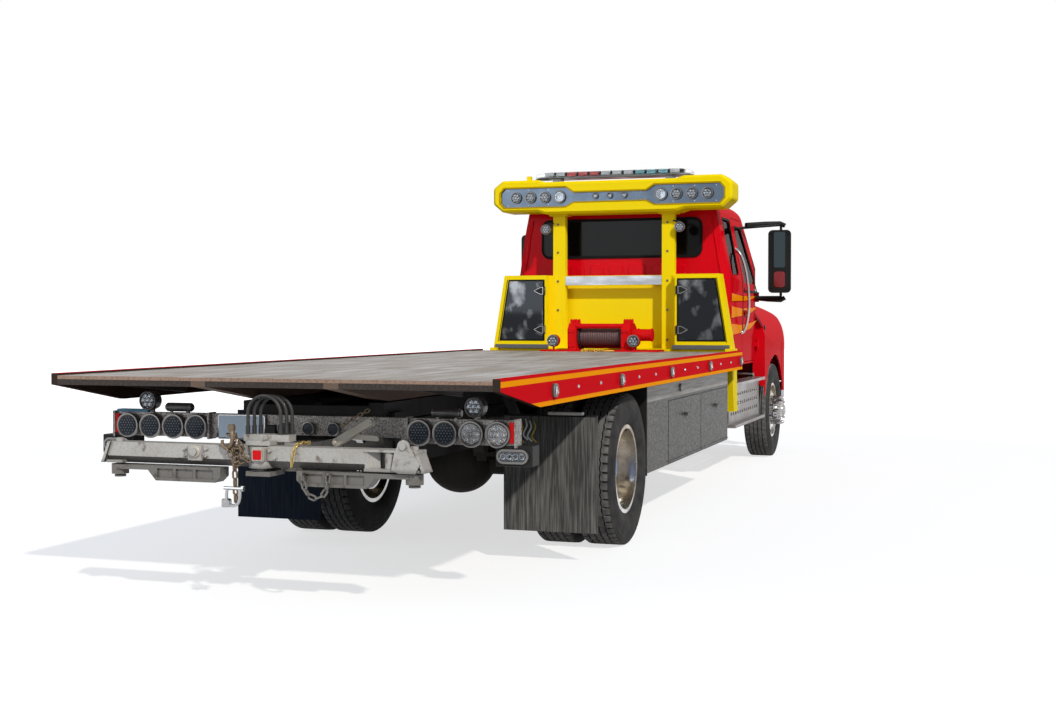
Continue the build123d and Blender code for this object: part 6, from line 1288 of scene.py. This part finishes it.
addPiece("sideBands", [bandOn(b, s) for b in sideBands for s in (1, -1)], "chassis", "cab_paint", bandPaint,
         smooth=False)
for side, sign in sides:
    addPiece(f"doorBands_{side}", [bandOn(b, sign) for b in doorBands], f"cab_door_{side}", "cab_paint",
             bandPaint, smooth=False)
fenderMarker = roundedOutline(0.034, 0.10, 0.016, 6, (3.72, 1.40))
addPiece("fenderMarkers", [sidePlate(fenderMarker, s * 1.122, -s * 0.012) for s in (1, -1)], "hood_body",
         "black_plastic", bevel=0.002)
print("stage: cab bands")

# front: grille frame, headlamp rims and bowls, wipers, lamps in the bumper
frontTrim = {
    "nose": 5.190, "lean": 0.025 / 0.52, "leanFrom": 0.85,
    "arc": ((4.680, 1.16), (5.060, 1.07), (5.190, 0.76)),
    "rimY": (0.645, 1.005), "rimZ": (1.045, 1.265), "bowls": ((0.742, 0.0), (0.905, 0.42)), "bowlZ": 1.155,
    "grille": [(5.186, -0.535, 0.888), (5.166, -0.535, 1.365), (5.128, -0.490, 1.455), (5.128, 0.490, 1.455),
               (5.166, 0.535, 1.365), (5.186, 0.535, 0.888)],
}


# front surface: flat in the middle, beyond it a circle through three points, leaning back with height
def noseX(y, z):
    (ax, ay), (bx, by), (cx, cy) = frontTrim["arc"]
    aa, bb, cc = ax * ax + ay * ay, bx * bx + by * by, cx * cx + cy * cy
    d = 2 * (ax * (by - cy) + bx * (cy - ay) + cx * (ay - by))
    ux = (aa * (by - cy) + bb * (cy - ay) + cc * (ay - by)) / d
    uy = (aa * (cx - bx) + bb * (ax - cx) + cc * (bx - ax)) / d
    reach = math.hypot(ax - ux, ay - uy)
    y = abs(y)
    x = frontTrim["nose"] if y < cy else ux + math.sqrt(max(reach ** 2 - (y - uy) ** 2, 0.0))
    return x - max(z - frontTrim["leanFrom"], 0.0) * frontTrim["lean"]


addPiece("grilleFrame", [tube(frontTrim["grille"], 0.017, 8, closed=True)], "hood_body", "chrome")
(rimY0, rimY1), (rimZ0, rimZ1) = frontTrim["rimY"], frontTrim["rimZ"]
rimLine = [(y, rimZ0) for y in np.linspace(rimY0, rimY1, 7)]
rimLine += [(y, rimZ1) for y in np.linspace(rimY1, rimY0, 7)]
rim = tube([(noseX(y, z) - 0.001, y, z) for y, z in rimLine], 0.011, 8, closed=True)
addPiece("headlampRims", bothSides([rim]), "hood_body", "chrome")
bowlZ = frontTrim["bowlZ"]
bowls = [roundLamp((noseX(y, bowlZ) + 0.004, s * y, bowlZ), (1, s * turnOut, 0), 0.078, "plain")
         for s in (1, -1) for y, turnOut in frontTrim["bowls"]]
addLamps("headBowls", bowls, "hood_body", bezel=finishes["black_plastic"])
fogs = [roundLamp((5.282, s * 0.70, 0.63), (1, s * 0.09, 0), 0.062, "plain", 0.03) for s in (1, -1)]
addLamps("fogLamps", fogs, "chassis")


def onScreen(t, y, proud):  # a point over the windshield: t climbs from its foot to its head
    return (3.680 - 0.460 * t + 0.858 * proud, y, 1.840 + 0.770 * t + 0.513 * proud)


wipers = []
for y in (0.62, -0.18):
    arm = [onScreen(-0.03, y, 0.03), onScreen(0.02, y - 0.03, 0.045), onScreen(0.30, y - 0.33, 0.032)]
    blade = [onScreen(0.10, y - 0.05, 0.014), onScreen(0.30, y - 0.33, 0.020),
             onScreen(0.48, y - 0.60, 0.014)]
    wipers += [tube(arm, [0.011, 0.009, 0.006], 8), tube(blade, 0.008, 6)]
addPiece("wipers", wipers, "chassis", "black_plastic")
print("stage: front")
